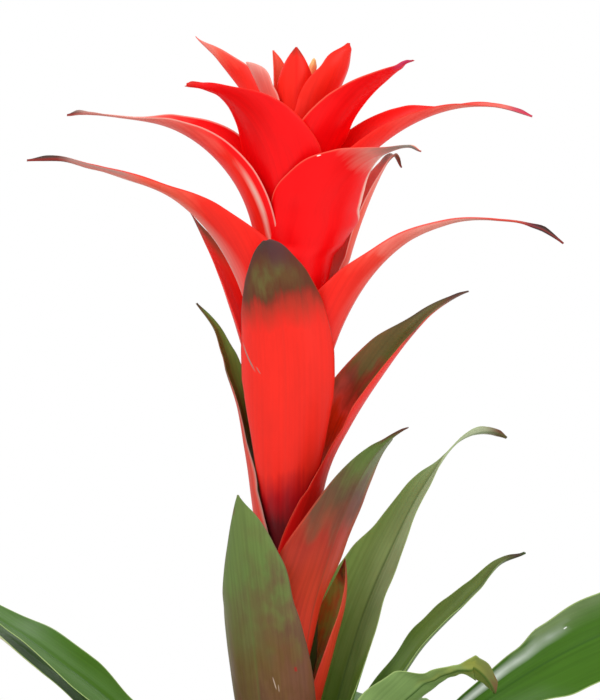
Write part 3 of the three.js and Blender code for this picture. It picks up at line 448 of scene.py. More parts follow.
def blade_mesh(name, blade):
    """One closed blade: a lower and an upper skin that meet in a rounded margin. It carries, for its
    finish, where each point lies: along and across the blade, from its margin, and on which skin."""
    s = blade_sections(blade)
    chance = np.random.default_rng(sum(ord(letter) * (i + 1) for i, letter in enumerate(name)))
    v = np.linspace(-1, 1, COLUMNS + 1)  # across the blade, from its left margin to its right
    place, distance = s["place"][:, None], s["distance"][:, None]
    stretch = np.where(v < 0, s["sides"][:, :1], s["sides"][:, 1:])
    bend = v * stretch * s["angle"][:, None]
    radius = (s["half"] / s["angle"])[:, None]
    right, inward = s["right"][:, None, :], s["inward"][:, None, :]
    points = s["middle"][:, None, :] + right * (radius * np.sin(bend))[..., None]
    points = points + inward * (radius * (1 - np.cos(bend)))[..., None]
    normal = inward * np.cos(bend)[..., None] - right * np.sin(bend)[..., None]
    outwards = right * np.cos(bend)[..., None] + inward * np.sin(bend)[..., None]

    # A soft crease along the middle and slow waves that grow towards the margins. None near the neck,
    # where the blades lie against each other.
    free = smooth((place - WAVES_START[0]) / WAVES_START[1])
    arc = s["half"][:, None] * v * stretch
    creased = smooth((place - CREASE_START[0]) / CREASE_START[1])
    relief = -blade["crease"] * np.exp(-((arc / CREASE_WIDTH) ** 2)) * creased
    wide = (s["half"] / s["half_at_widest"])[:, None]
    for wave_length, share in WAVES:
        for edge in (-1, 1):
            phase = chance.uniform(0, 2 * math.pi)
            length = wave_length * chance.uniform(*WAVE_WANDER)
            ripple = np.sin(distance / length * 2 * math.pi + phase)
            relief = relief + blade["wave"] * share * ripple * np.clip(v * edge, 0, 1) ** 2 * free * wide
    points = points + normal * relief[..., None]

    thin = mix(1, TIP_THINNING, np.clip(place, 0, 1) ** 3)
    thickness = (mix(blade["thickness"], MARGIN_THICKNESS, v[None, :] ** 2) * thin)[..., None]
    lower = points - normal * thickness / 2
    upper = points + normal * thickness / 2
    rim = [points[:, j] + outwards[:, j] * thickness[:, j] * v[j] / 2 for j in (0, -1)]

    rows, columns = arc.shape
    count = rows * columns
    at = np.arange(count).reshape(rows, columns)
    rim_at = [2 * count + np.arange(rows), 2 * count + rows + np.arange(rows)]

    def quads(a, b, c, d):
        return np.stack([a, b, c, d], axis=-1).reshape(-1, 4)

    faces = [
        quads(at[:-1, :-1], at[:-1, 1:], at[1:, 1:], at[1:, :-1]),
        quads(at[:-1, :-1], at[1:, :-1], at[1:, 1:], at[:-1, 1:]) + count,
        quads(at[:-1, 0] + count, rim_at[0][:-1], rim_at[0][1:], at[1:, 0] + count),
        quads(rim_at[0][:-1], at[:-1, 0], at[1:, 0], rim_at[0][1:]),
        quads(at[:-1, -1], rim_at[1][:-1], rim_at[1][1:], at[1:, -1]),
        quads(rim_at[1][:-1], at[:-1, -1] + count, at[1:, -1] + count, rim_at[1][1:]),
        quads(at[0, :-1] + count, at[0, 1:] + count, at[0, 1:], at[0, :-1]),
        quads(at[-1, :-1], at[-1, 1:], at[-1, 1:] + count, at[-1, :-1] + count),
    ]
    ends = [
        (at[0, 0], rim_at[0][0], at[0, 0] + count),
        (at[0, -1] + count, rim_at[1][0], at[0, -1]),
        (at[-1, 0] + count, rim_at[0][-1], at[-1, 0]),
        (at[-1, -1], rim_at[1][-1], at[-1, -1] + count),
    ]
    vertices = np.concatenate([lower.reshape(-1, 3), upper.reshape(-1, 3), *rim])
    mesh = bpy.data.meshes.new(name)
    mesh.from_pydata((leant(vertices) * MM).tolist(), [], np.concatenate(faces).tolist() + ends)

    both = np.ones((rows, columns))
    whole_length = s["distance"][-1] - s["distance"][0]
    reach = (s["distance"] - s["distance"][0]) / whole_length
    fields = dict(
        reach=(reach[:, None] * both, reach),
        along=(distance * both, s["distance"]),
        side=(v * both, None),
        across=(arc, None),
        margin=(s["half"][:, None] * stretch - np.abs(arc), 0 * s["half"]),
    )
    for field, (grid, edge) in fields.items():
        edges = [grid[:, 0], grid[:, -1]] if edge is None else [edge, edge]
        carried(mesh, field, [grid.ravel(), grid.ravel(), *edges])
    carried(mesh, "upper_skin", [np.zeros(count), np.ones(count), np.full(2 * rows, 0.5)])
    mesh.shade_smooth()
    return mesh


def spun(pieces, name):
    """A mesh of closed round solids. Each piece gives its foot, its tip, its radius by the share of the
    way between them, and its rows and sides. It may have three lobes and a spiral of leaf scars."""
    vertices, faces, reach = [], [], []
    for piece in pieces:
        foot, tip = np.array(piece["foot"], float), np.array(piece["tip"], float)
        axis = unit(tip - foot)
        beside = unit(np.cross((0.0, 1.0, 0.0), axis))
        ahead = np.cross(axis, beside)
        share = np.linspace(0, 1, piece["rows"])
        turn = np.linspace(0, 2 * math.pi, piece["sides"], endpoint=False)
        lobes = 1 + piece.get("lobes", 0) * np.abs(np.cos(1.5 * turn))
        length = np.linalg.norm(tip - foot)
        around = (turn / (2 * math.pi) + share[:, None] * length / SCAR_SPACING) % 1
        scars = piece.get("scars", 0) * np.exp(-(((around - 0.5) / SCAR_WIDTH) ** 2))
        radius = eased(share, piece["profile"], 1)[:, None] * lobes + scars
        centre = foot + axis * (share * length)[:, None]
        ring = np.cos(turn)[:, None] * beside + np.sin(turn)[:, None] * ahead
        points = centre[:, None, :] + ring[None, :, :] * radius[..., None]
        start = sum(len(block) for block in vertices)
        at = start + np.arange(points.shape[0] * points.shape[1]).reshape(points.shape[:2])
        after = np.roll(at, -1, axis=1)
        faces += np.stack([at[:-1], after[:-1], after[1:], at[1:]], axis=-1).reshape(-1, 4).tolist()
        last = start + points.shape[0] * points.shape[1]
        faces += [(last, int(b), int(a)) for a, b in zip(at[0], after[0])]
        faces += [(last + 1, int(a), int(b)) for a, b in zip(at[-1], after[-1])]
        vertices += [points.reshape(-1, 3), foot[None, :], tip[None, :]]
        reach += [np.repeat(share, piece["sides"]), [0, 1]]
    mesh = bpy.data.meshes.new(name)
    mesh.from_pydata((leant(np.concatenate(vertices)) * MM).tolist(), [], faces)
    carried(mesh, "reach", reach)
    mesh.shade_smooth()
    return mesh


def stem_mesh():
    """The trunk and the flower stalk, ringed by the scars of older leaves, with a flat cut at the foot."""
    height = STEM_PROFILE[-1][1]
    profile = STEM_CUT + [(z / height, r) for r, z in STEM_PROFILE[1:]]
    return spun([dict(foot=(0, 0, 0), tip=(0, 0, height), profile=profile, rows=STEM_ROWS, sides=STEM_SIDES,
                      scars=SCAR_HEIGHT)], "stem_stalk")


def florets_mesh():
    """The florets: closed ones in a spiral on a small head, and one that has opened above them."""
    pieces = [dict(foot=HEAD_FOOT, tip=HEAD_TIP, profile=HEAD_PROFILE, rows=24, sides=32)]
    for i in range(FLORET_COUNT):
        share = i / (FLORET_COUNT - 1)
        turn, tilt = math.radians(i * FLORET_SPIRAL), math.radians(mix(*FLORET_TILT, share))
        outward = np.array([math.sin(turn), -math.cos(turn), 0])
        foot = outward * mix(*FLORET_RING, share) + np.array([0, 0, FLORET_FOOT + i * FLORET_RISE])
        lean = outward * math.sin(tilt) + np.array([0, 0, math.cos(tilt)])
        pieces.append(dict(foot=foot, tip=foot + lean * FLORET_LENGTH, profile=CLOSED_FLORET, rows=40,
                           sides=36, lobes=0.09))
    pieces.append(dict(foot=OPEN_FOOT, tip=OPEN_TIP, profile=OPEN_FLORET, rows=48, sides=36, lobes=0.12))
    return spun(pieces, "florets_head")


# Colours of the tissue, as the eye sees them in soft light. Some are also laid over it as painted
# highlights, sheens, reflections and shade.
PALETTE = dict(
    signal="f4060c", salmon="ee4231", scarlet="f0291c", poppy="f5160f", coral="f0604c", rose="e58478",
    blush="eba79a", crimson="b80f18", cocoa="642c1c", wine="6e1a20", brick="b5301f", tomato="cf3b22",
    rust="9d4a31", umber="6b4531", aubergine="57343a", bark="4a3832", dusk="a87f76", olive="6a6c38",
    moss="657a3a", fern="688438", leaf="40681a", deep="33581a", sage="8fac68", grass="6a9434",
    sheen="a4bc86", silver="b4bd98", straw="d8d0b0", bronze="6a5428", cream="f4d9c8", peach="ffab70",
    honey="f8d080", flame="f0501c", pale="a9be78", wood="94805a", orange="d8641f", khaki="b4aa44",
    gloss="eef4ee", magenta="c2365f", ash="8f867c",
)

# Sizes of the patterns. The first three are the length and the width of a streak, in mm. The others are
# how many fibres, cells or spots go to the metre.
VEIN = (70, 1.3)  # veins run the whole blade, drawn about twice as wide as they grow, to show
PATCH = (22, 9)  # where one flush of growth is a little darker than the next
DAB = (10, 5)  # the mottling of a wash
FIBRES = (1500, 1500, 40)  # fibres a third of a millimetre wide, drawn about twice as wide
BUNDLES = 900.0  # ends of the fibre bundles in the cut face, a millimetre apart
PETAL_VEINS = (2200, 2200, 150)  # half a millimetre wide
CLOUDS = (30, 30, 30)  # faint clouds in the card, a few centimetres across
TOOTH = (900, 900, 900)  # its grain, a millimetre across
NOISE = {"From Min": 0.3, "From Max": 0.7}  # the part of a noise's range that it mostly keeps to
FRAY = 0.008  # how far a vein carries its colour past its neighbour's, as a part of the blade
RIB = (0.9, 0.2)  # mm from the middle where the line along it begins, and where it is full
EDGE_SHARE = 0.7  # how much of its own colour a margin shows
SKINS = dict(upper=(0.3, 0.7), lower=(0.7, 0.3))  # none and full, from 0 below to 1 above

# How the tissue of each kind of blade looks. upper and lower are the colours of the inner and the outer
# skin, each after its reach: 0 at the foot of the sheath, 1 at the tip. drift is how far the colours run
# into each other, as a part of that length. edge is the colour of the margin, edge_width its width in mm
# and edge_until where it has ended and where it is still whole. rib is the colour of the middle line and
# rib_share how much of it shows. streak is how much the veins darken the tissue.
RED = dict(
    upper="0 crimson, 0.3 poppy, 0.94 poppy, 1 brick",
    lower="0 crimson, 0.22 signal, 0.94 signal, 1 wine",
    edge="scarlet", edge_width=0.7, edge_until=(0.95, 0.85), rib="signal", rib_share=0.25,
    roughness=0.4, specular=0.16, drift=0.04, streak=0.05)
FLUSHED = dict(
    upper="0 brick, 0.4 umber, 0.7 olive, 0.95 umber, 1 bark",
    lower="0 scarlet, 0.5 tomato, 0.8 moss, 0.95 umber, 1 bark",
    edge="scarlet", edge_width=0.8, edge_until=(0.75, 0.6), rib="umber", rib_share=0.35,
    roughness=0.42, specular=0.3, drift=0.1, streak=0.12)
GREEN = dict(
    upper="0 olive, 0.4 moss, 1 fern",
    lower="0 brick, 0.36 umber, 0.55 olive, 0.72 fern, 0.97 fern, 1 umber",
    edge="umber", edge_width=0.4, edge_until=(0.95, 0.85), rib="moss", rib_share=0.3,
    roughness=0.45, specular=0.3, drift=0.08, streak=0.1)
LEAF = dict(
    upper="0 pale, 0.15 fern, 0.3 leaf, 0.95 leaf, 1 umber",
    lower="0 pale, 0.2 sage, 0.9 sage, 1 umber",
    edge="pale", edge_width=0.5, edge_until=(0.95, 0.85), rib="deep", rib_share=0.7,
    roughness=0.4, specular=0.12, drift=0.05, streak=0.1)
KINDS = {
    **dict.fromkeys(BRACTS, (RED, "red_bract")),
    **dict.fromkeys(("bract_02", "bract_04", "bract_05", "bract_06"), (FLUSHED, "flushed_bract")),
    **dict.fromkeys(("bract_01", "bract_03"), (GREEN, "green_bract")),
    **dict.fromkeys(LEAVES, (LEAF, "leaf")),
}


def wash(colour, amount, side=None, reach=None, until=None, skin=None, patchy=0):
    """A colour laid over part of a blade. side and reach give where it begins and where it is full,
    until where it starts to end and where it has ended. patchy breaks it into dabs."""
    return dict(colour=colour, amount=amount, side=side, reach=reach, until=until and until[::-1],
                skin=SKINS.get(skin), patchy=patchy)


def mark(colour, amount, reach, side, long, wide, slant=0):
    """A small scar, speck or painted glint: its place, half its length and width, and how far it leans to
    the side.
    """
    return dict(colour=colour, amount=amount, reach=reach, side=side, long=long, wide=wide, slant=slant)


# What sets the look of single blades apart
LOOKS = {
    "bract_01": dict(
        lower="0 brick, 0.36 umber, 0.48 bronze, 0.64 olive, 0.78 moss, 0.97 moss, 1 umber",
        marks=[
            mark("cream", 0.55, 0.445, 0.3, 0.02, 0.012, -1),
            mark("cream", 0.4, 0.43, 0.36, 0.012, 0.01),
            mark("crimson", 0.7, 0.48, 0.7, 0.008, 0.03),
        ],
        washes=[
            wash("rust", 0.7, side=(-0.1, 1), until=(0.45, 0.75), patchy=0.5),
            wash("aubergine", 0.45, side=(0.1, 0.8), reach=(0.3, 0.42), until=(0.6, 0.8), patchy=0.7),
            wash("wood", 0.25, reach=(0.6, 0.3), patchy=0.6),
            wash("umber", 0.4, side=(-0.6, 0.6), reach=(0.5, 0.6), until=(0.8, 0.95), patchy=1),
        ]),
    "bract_02": dict(
        upper="0 flame, 0.34 orange, 0.45 khaki, 0.92 khaki, 1 umber",
        lower="0 scarlet, 0.8 tomato, 1 umber",
        edge="tomato",
        washes=[wash("flame", 0.6, reach=(0.2, 0.4), skin="upper", patchy=1)]),
    "bract_04": dict(
        lower="0 scarlet, 0.36 tomato, 0.52 brick, 0.6 rust, 0.68 umber, 0.77 olive, 0.9 moss, 0.95 umber, "
              "1 aubergine",
        edge="tomato", edge_width=0.9, drift=0.05,
        washes=[
            wash("moss", 0.6, side=(0.3, -0.6), reach=(0.62, 0.76), until=(0.9, 0.95), patchy=0.4),
            wash("umber", 0.6, side=(0.6, -0.2), reach=(0.54, 0.6), until=(0.7, 0.8), patchy=0.6),
            wash("wine", 0.4, side=(-0.5, 0.2), reach=(0.5, 0.6), until=(0.68, 0.78), patchy=0.7),
            wash("tomato", 0.8, side=(0.45, 1), reach=(0.2, 0.3), until=(0.74, 0.83)),
            wash("umber", 0.7, side=(0.3, 1), reach=(0.78, 0.9), patchy=0.3),
        ]),
    "bract_05": dict(
        upper="0 wine, 0.3 umber, 0.45 moss, 0.6 fern, 0.92 fern, 1 bark",
        lower="0 scarlet, 0.7 tomato, 0.85 umber, 1 bark",
        edge="dusk",
        washes=[
            # painted sheen: a grey band along the inner face, where light glances off it
            wash("silver", 0.5, side=(0.35, 0.95), reach=(0.45, 0.6), skin="upper"),
            wash("blush", 0.5, side=(0.85, 1), until=(0.5, 0.6), skin="lower"),
        ]),
    "bract_06": dict(
        upper="0 flame, 0.44 flame, 0.52 coral, 0.6 rust, 0.7 moss, 0.85 olive, 0.95 umber, 1 bark",
        lower="0 signal, 0.7 scarlet, 0.86 tomato, 0.95 umber, 1 bark",
        edge="tomato", edge_width=0.7,
        washes=[
            wash("rust", 0.5, side=(0.1, 0.9), reach=(0.46, 0.56), until=(0.72, 0.85), skin="upper"),
            # painted sheen: a grey band near the lower edge of the inner face
            wash("silver", 0.4, side=(-0.1, -0.8), reach=(0.6, 0.85), skin="upper"),
            wash("bark", 0.6, side=(0.5, 1), reach=(0.75, 0.85)),
            wash("bark", 0.7, side=(-0.5, -1), reach=(0.8, 0.92)),
        ]),
    "bract_07": dict(
        lower="0 wine, 0.13 wine, 0.21 crimson, 0.3 scarlet, 0.72 scarlet, 0.79 brick, 0.83 cocoa, "
              "0.93 cocoa, 1 bark",
        edge="brick", edge_width=0.5, drift=0.025, streak=0.03, rib="bark", rib_share=0.05,
        marks=[
            mark("ash", 0.8, 0.637, -0.74, 0.045, 0.03, -4),
            mark("ash", 0.5, 0.6, -0.5, 0.012, 0.02, -4),
        ],
        washes=[
            wash("olive", 0.65, side=(-1, -0.6), reach=(0.81, 0.87), until=(0.9, 0.96), patchy=0.55),
            wash("cocoa", 0.8, side=(0.35, 0.8), reach=(0.77, 0.86)),
            wash("bark", 0.6, side=(-0.75, -1), reach=(0.8, 0.87)),
            wash("aubergine", 0.6, side=(-0.6, 0.1), reach=(0.88, 0.94), patchy=0.4),
            # painted shade: the blade darkens along both margins low down, where its neighbours wrap round
            # it
            wash("wine", 0.35, side=(0.4, 1), until=(0.12, 0.4)),
            wash("wine", 0.3, side=(-0.4, -1), until=(0.12, 0.35)),
        ]),
    "bract_08": dict(
        upper="0 crimson, 0.3 signal, 0.84 scarlet, 0.95 rust, 1 bark",
        lower="0 crimson, 0.3 signal, 0.84 scarlet, 0.95 rust, 1 umber",
        # painted shadow: a dark band where the bract above shades this one
        washes=[wash("umber", 0.85, side=(0.1, -0.6), reach=(0.74, 0.9))]),
    "bract_09": dict(
        lower="0 crimson, 0.2 signal, 0.5 scarlet, 0.7 coral, 0.82 dusk, 0.9 rust, 0.94 aubergine, 1 bark",
        upper="0 crimson, 0.3 signal, 0.66 scarlet, 0.82 dusk, 0.93 aubergine, 1 bark",
        washes=[
            # painted reflection: the outer face pales along its lower band, where it turns towards the
            # white floor
            wash("blush", 0.75, side=(-0.3, 0.3), reach=(0.3, 0.6), until=(0.8, 0.9), skin="lower"),
            wash("blush", 0.6, reach=(0.56, 0.66), until=(0.84, 0.92)),
        ]),
    "bract_10": dict(
        lower="0 crimson, 0.2 signal, 0.6 scarlet, 0.72 coral, 0.8 dusk, 0.88 ash, 0.94 bark, 1 bark",
        upper="0 crimson, 0.3 signal, 0.66 scarlet, 0.8 dusk, 0.9 bark, 1 bark",
        # painted reflection: the outer face pales along its lower band, where it turns towards the white
        # floor
        washes=[wash("blush", 1, side=(0.35, -0.3), reach=(0.25, 0.5), until=(0.8, 0.9), skin="lower")]),
    "bract_12": dict(
        lower="0 crimson, 0.3 coral, 0.7 coral, 0.88 rose, 0.95 umber, 1 bark",
        upper="0 crimson, 0.3 coral, 0.6 coral, 0.9 rose, 0.96 dusk, 1 bark",
        edge="blush", edge_width=0.8),
    "bract_13": dict(
        lower="0 crimson, 0.24 signal, 0.8 signal, 0.87 rose, 0.92 dusk, 0.96 ash, 1 bark",
        edge="coral", edge_width=0.6, streak=0.02, drift=0.02,
        # painted highlight: a small white glint on the margin
        marks=[mark("gloss", 0.9, 0.765, -0.96, 0.005, 0.022)],
        washes=[
            wash("cream", 0.8, side=(0.8, 0.92), reach=(0.25, 0.35)),
            # painted sheen: a pale grey band near the tip
            wash("silver", 0.45, side=(0.3, 0.9), reach=(0.78, 0.88), until=(0.95, 1)),
        ]),
    "bract_14": dict(
        upper="0 crimson, 0.3 signal, 0.7 signal, 0.86 rose, 0.96 dusk, 1 bark",
        lower="0 crimson, 0.3 scarlet, 0.6 scarlet, 0.85 rose, 0.96 dusk, 1 bark",
        edge="blush",
        washes=[
            # painted highlight: a pale streak along the near margin, on the outer face
            wash("cream", 0.7, side=(0.66, 0.76), reach=(0.34, 0.42), until=(0.46, 0.58), skin="lower"),
            wash("signal", 1, side=(0.79, 0.86), until=(0.6, 0.7), skin="lower"),
            wash("blush", 0.4, side=(0.3, -0.1), reach=(0.55, 0.75), skin="lower"),
        ]),
    "bract_16": dict(lower="0 crimson, 0.22 signal, 0.94 signal, 0.98 brick, 1 wine"),
    "bract_17": dict(
        lower="0 crimson, 0.24 signal, 0.68 scarlet, 0.82 coral, 0.89 rose, 0.94 magenta, 1 wine",
        upper="0 crimson, 0.3 signal, 0.75 poppy, 0.9 rose, 0.97 magenta, 1 wine",
        # painted reflection: a pale band on the outer face
        washes=[wash("blush", 0.3, side=(0.3, -0.3), reach=(0.6, 0.8), skin="lower")]),
    "bract_18": dict(lower="0 crimson, 0.22 signal, 0.82 scarlet, 0.92 coral, 1 rose", edge="rose"),
    "bract_20": dict(lower="0 crimson, 0.22 signal, 0.88 signal, 0.95 magenta, 1 wine", edge="coral"),
    "bract_21": dict(
        lower="0 crimson, 0.3 signal, 0.7 salmon, 0.9 rose, 1 blush",
        upper="0 crimson, 0.3 signal, 0.7 salmon, 0.9 rose, 1 blush",
        edge="blush", edge_width=1),
    "bract_23": dict(lower="0 crimson, 0.22 signal, 0.6 scarlet, 0.95 scarlet, 1 brick"),
    "bract_25": dict(lower="0 crimson, 0.22 signal, 0.6 scarlet, 0.95 scarlet, 1 brick"),
    "bract_26": dict(
        lower="0 crimson, 0.4 scarlet, 0.8 coral, 1 flame",
        upper="0 crimson, 0.4 scarlet, 0.7 flame, 1 coral"),
    "leaf_15": dict(lower="0 pale, 0.2 straw, 0.9 straw, 1 umber"),
    "leaf_17": dict(
        # painted highlight: a small white glint
        marks=[mark("gloss", 0.9, 0.5, 0.58, 0.003, 0.02)],
        washes=[
            # painted highlight: a white band along the upper margin, where the leaf reflects the soft box
            wash("gloss", 0.8, side=(0.38, 0.6), reach=(0.18, 0.28), until=(0.36, 0.5),
                 skin="upper", patchy=0.1),
            wash("leaf", 1, side=(0.66, 0.9), skin="upper"),
            # painted sheen: a broad grey band on the upper face
            wash("silver", 0.3, side=(0.35, 0.9), reach=(0.42, 0.48), until=(0.5, 0.7), skin="upper"),
        ]),
    "leaf_19": dict(
        upper="0 grass, 0.6 fern, 0.85 fern, 0.97 moss, 1 umber",
        lower="0 grass, 0.5 sage, 0.76 sage, 0.9 moss, 0.97 olive, 1 umber",
        washes=[wash("khaki", 0.35, reach=(0.7, 0.8), until=(0.9, 0.97), patchy=0.7)]),
    "leaf_21": dict(
        upper="0 grass, 0.5 fern, 0.9 moss, 1 bark",
        lower="0 grass, 0.5 fern, 0.9 moss, 1 bark"),
    "leaf_22": dict(
        # the grey towards the tip on both skins is a painted sheen
        upper="0 grass, 0.3 grass, 0.6 sage, 0.85 sage, 0.97 silver, 1 umber",
        lower="0 grass, 0.6 sage, 0.9 silver, 1 umber",
        rib_share=0.45,
        washes=[
            # painted reflection: a grey-green sheen over the right half of the upper face
            wash("sheen", 0.7, side=(0.05, -0.35), reach=(0.35, 0.6), skin="upper"),
            wash("grass", 0.5, side=(0.1, 0.8), reach=(0.3, 0.4), until=(0.7, 0.9), skin="upper"),
        ]),
}


def linear(name):
    """A palette colour, from the screen's sRGB to the linear light that shaders use."""
    code = PALETTE[name]
    parts = [int(code[i:i + 2], 16) / 255 for i in (0, 2, 4)]
    return (*[p / 12.92 if p <= 0.04045 else ((p + 0.055) / 1.055) ** 2.4 for p in parts], 1)


def add(tree, kind, links=None, stops="", **settings):
    """Adds a node with its settings and, for a ramp, its stops. links gives each input a value, an
    output of another node, or a node, which stands for its first output in use."""
    node = tree.nodes.new("ShaderNode" + kind)
    for key, value in settings.items():
        setattr(node, key, value)
    for i, words in enumerate(stops.split(", ") if stops else ()):
        place, colour = words.split()
        stop = node.color_ramp.elements[i] if i < 2 else node.color_ramp.elements.new(float(place))
        stop.position = float(place)
        stop.color = linear(colour)
    for socket, source in (links or {}).items():
        if isinstance(source, bpy.types.Node):
            source = next(output for output in source.outputs if output.enabled)
        if isinstance(source, bpy.types.NodeSocket):
            tree.links.new(source, node.inputs[socket])
        else:
            node.inputs[socket].default_value = source
    return node


def blank_material(name):
    material = bpy.data.materials.new(name)
    material.use_nodes = True
    material.node_tree.nodes.clear()
    return material


def streaks(tree, along, across, seed, size, detail):
    """Noise drawn out along the blade. size is the length and the width of one streak, in mm."""
    lengthways = add(tree, "Math", {0: along, 1: 1 / size[0]}, operation="MULTIPLY")
    sideways = add(tree, "Math", {0: across, 1: 1 / size[1]}, operation="MULTIPLY")
    spot = add(tree, "CombineXYZ", {"X": lengthways, "Y": sideways, "Z": seed})
    return add(tree, "TexNoise", {"Vector": spot, "Scale": 1.0, "Detail": detail}).outputs["Fac"]


def grain(tree, scale):
    """Noise in a piece's own space. scale is how many of its spots go to the metre, along x, y and z."""
    place = add(tree, "TexCoord").outputs["Object"]
    drawn = add(tree, "Mapping", {"Vector": place, "Scale": scale})
    return add(tree, "TexNoise", {"Vector": drawn, "Scale": 1.0, "Detail": 2.0}).outputs["Fac"]


def laid(tree, body, colour, amount, *limits):
    """Lays a colour over the tissue. Each limit is a value, the place on it where none of the colour
    shows, and the place where all of it does."""
    for value, none, full in limits:
        part = add(tree, "MapRange", {"Value": value, "From Min": none, "From Max": full})
        amount = add(tree, "Math", {0: amount, 1: part}, operation="MULTIPLY")
    return add(tree, "Mix", {"Factor": amount, 6: body, 7: linear(colour)}, data_type="RGBA")


def surfaced(material, body, roughness, specular, relief, strength, depth):
    """Ends a material: its colour, its roughness and its relief, whose full depth is in mm."""
    tree = material.node_tree
    bump = add(tree, "Bump", {"Height": relief, "Strength": strength, "Distance": depth * MM})
    shader = add(tree, "BsdfPrincipled", {"Base Color": body, "Roughness": roughness, "Normal": bump,
                                          "Specular IOR Level": specular})
    add(tree, "OutputMaterial", {"Surface": shader})
    return material


def tissue(name, finish, number):
    """Living leaf tissue: waxy, with fine veins that run along the blade, colour that changes along it
    in frayed streaks, a margin of its own colour and a line along the middle. It gives the eye a soft,
    broad sheen and a grain that leads from the foot to the tip. number sets its patterns apart."""
    material = blank_material(name)
    tree = material.node_tree
    reach, along, side, across, margin, skin = (
        add(tree, "Attribute", attribute_name=field).outputs["Fac"]
        for field in ("reach", "along", "side", "across", "margin", "upper_skin")
    )
    veins = streaks(tree, along, across, number * 3.7, VEIN, 2.0)
    patches = streaks(tree, along, across, number * 5.3, PATCH, 2.5)

    fray = add(tree, "MapRange", {"Value": veins, **NOISE, "To Min": -FRAY, "To Max": FRAY})
    drift = add(tree, "MapRange", {"Value": patches, **NOISE, "To Min": -finish["drift"],
                                   "To Max": finish["drift"]})
    shift = add(tree, "Math", {0: fray, 1: drift})
    zone = add(tree, "Math", {0: reach, 1: shift}).outputs[0]
    lower = add(tree, "ValToRGB", {"Fac": zone}, stops=finish["lower"])
    upper = add(tree, "ValToRGB", {"Fac": zone}, stops=finish["upper"])
    body = add(tree, "Mix", {"Factor": skin, 6: lower, 7: upper}, data_type="RGBA")

    for coat in finish.get("washes", []):
        amount = coat["amount"]
        if coat["patchy"]:
            dabs = streaks(tree, along, across, number * 7.9, DAB, 3.0)
            dab = add(tree, "MapRange", {"Value": dabs, "From Min": 0.4, "From Max": 0.6,
                                         "To Min": 1 - coat["patchy"], "To Max": 1.0})
            amount = add(tree, "Math", {0: amount, 1: dab}, operation="MULTIPLY")
        fields = ((zone, "until"), (zone, "reach"), (side, "side"), (skin, "skin"))
        limits = [(value, *coat[key]) for value, key in fields if coat[key]]
        body = laid(tree, body, coat["colour"], amount, *limits)

    strength = finish["streak"]
    streak = add(tree, "MapRange", {"Value": veins, "From Min": 0.35, "From Max": 0.65,
                                    "To Min": 1 - strength, "To Max": 1 + strength / 2})
    blotch = add(tree, "MapRange", {"Value": patches, **NOISE, "To Min": 0.95, "To Max": 1.04})
    tone = add(tree, "Math", {0: streak, 1: blotch}, operation="MULTIPLY")
    body = add(tree, "Mix", {"Factor": 1.0, 6: body, 7: tone}, data_type="RGBA", blend_type="MULTIPLY")

    for spot in finish.get("marks", []):
        ahead = add(tree, "Math", {0: reach, 1: spot["reach"]}, operation="SUBTRACT")
        level = add(tree, "Math", {0: ahead, 1: -spot["slant"], 2: side}, operation="MULTIPLY_ADD")
        beside = add(tree, "Math", {0: level, 1: spot["side"]}, operation="SUBTRACT")
        limits = [(add(tree, "Math", {0: off}, operation="ABSOLUTE"), size, size / 2)
                  for off, size in ((ahead, spot["long"]), (beside, spot["wide"]))]
        body = laid(tree, body, spot["colour"], spot["amount"], *limits)

    off_middle = add(tree, "Math", {0: across}, operation="ABSOLUTE")
    body = laid(tree, body, finish["rib"], finish["rib_share"], (off_middle, *RIB))
    rim = (margin, finish["edge_width"], finish["edge_width"] * 0.3)
    body = laid(tree, body, finish["edge"], EDGE_SHARE, rim, (reach, *finish["edge_until"]))

    rough = add(tree, "MapRange", {"Value": patches, **NOISE, "To Min": finish["roughness"] - 0.05,
                                   "To Max": finish["roughness"] + 0.08})
    return surfaced(material, body, roughness=rough, specular=finish["specular"], relief=veins,
                    strength=0.35, depth=0.12)


def stalk_tissue():
    """A bromeliad's trunk: pale and fibrous where it is cut, brown with dry fibres below, green above.
    It gives the eye a dull, rough foot under the waxy leaves."""
    material = blank_material("fibrous_stalk")
    tree = material.node_tree
    reach = add(tree, "Attribute", attribute_name="reach").outputs["Fac"]
    fibres = grain(tree, FIBRES)
    body = add(tree, "ValToRGB", {"Fac": reach},
               stops="0 straw, 0.002 wood, 0.14 umber, 0.24 pale, 1 pale")
    tone = add(tree, "MapRange", {"Value": fibres, **NOISE, "To Min": 0.7, "To Max": 1.15})
    body = add(tree, "Mix", {"Factor": 1.0, 6: body, 7: tone}, data_type="RGBA", blend_type="MULTIPLY")
    place = add(tree, "TexCoord").outputs["Object"]
    ends = add(tree, "TexVoronoi", {"Vector": place, "Scale": BUNDLES}).outputs["Distance"]
    body = laid(tree, body, "umber", 1.0, (reach, 0.0006, 0), (ends, 0.32, 0.2))
    return surfaced(material, body, roughness=0.75, specular=0.2, relief=fibres, strength=0.5, depth=0.2)


def petal_tissue():
    """Soft petals: greenish white at the foot, yellow above, flushed with orange at the opening. They
    give the eye one pale, silky point in the red cup."""
    material = blank_material("floret_petals")
    tree = material.node_tree
    reach = add(tree, "Attribute", attribute_name="reach").outputs["Fac"]
    veins = grain(tree, PETAL_VEINS)
    wander = add(tree, "MapRange", {"Value": veins, **NOISE, "To Min": -0.05, "To Max": 0.05})
    zone = add(tree, "Math", {0: reach, 1: wander})
    body = add(tree, "ValToRGB", {"Fac": zone},
               stops="0 pale, 0.3 straw, 0.6 honey, 0.85 peach, 1 honey")
    tone = add(tree, "MapRange", {"Value": veins, **NOISE, "To Min": 0.88, "To Max": 1.05})
    body = add(tree, "Mix", {"Factor": 1.0, 6: body, 7: tone}, data_type="RGBA", blend_type="MULTIPLY")
    return surfaced(material, body, roughness=0.5, specular=0.3, relief=veins, strength=0.3, depth=0.1)


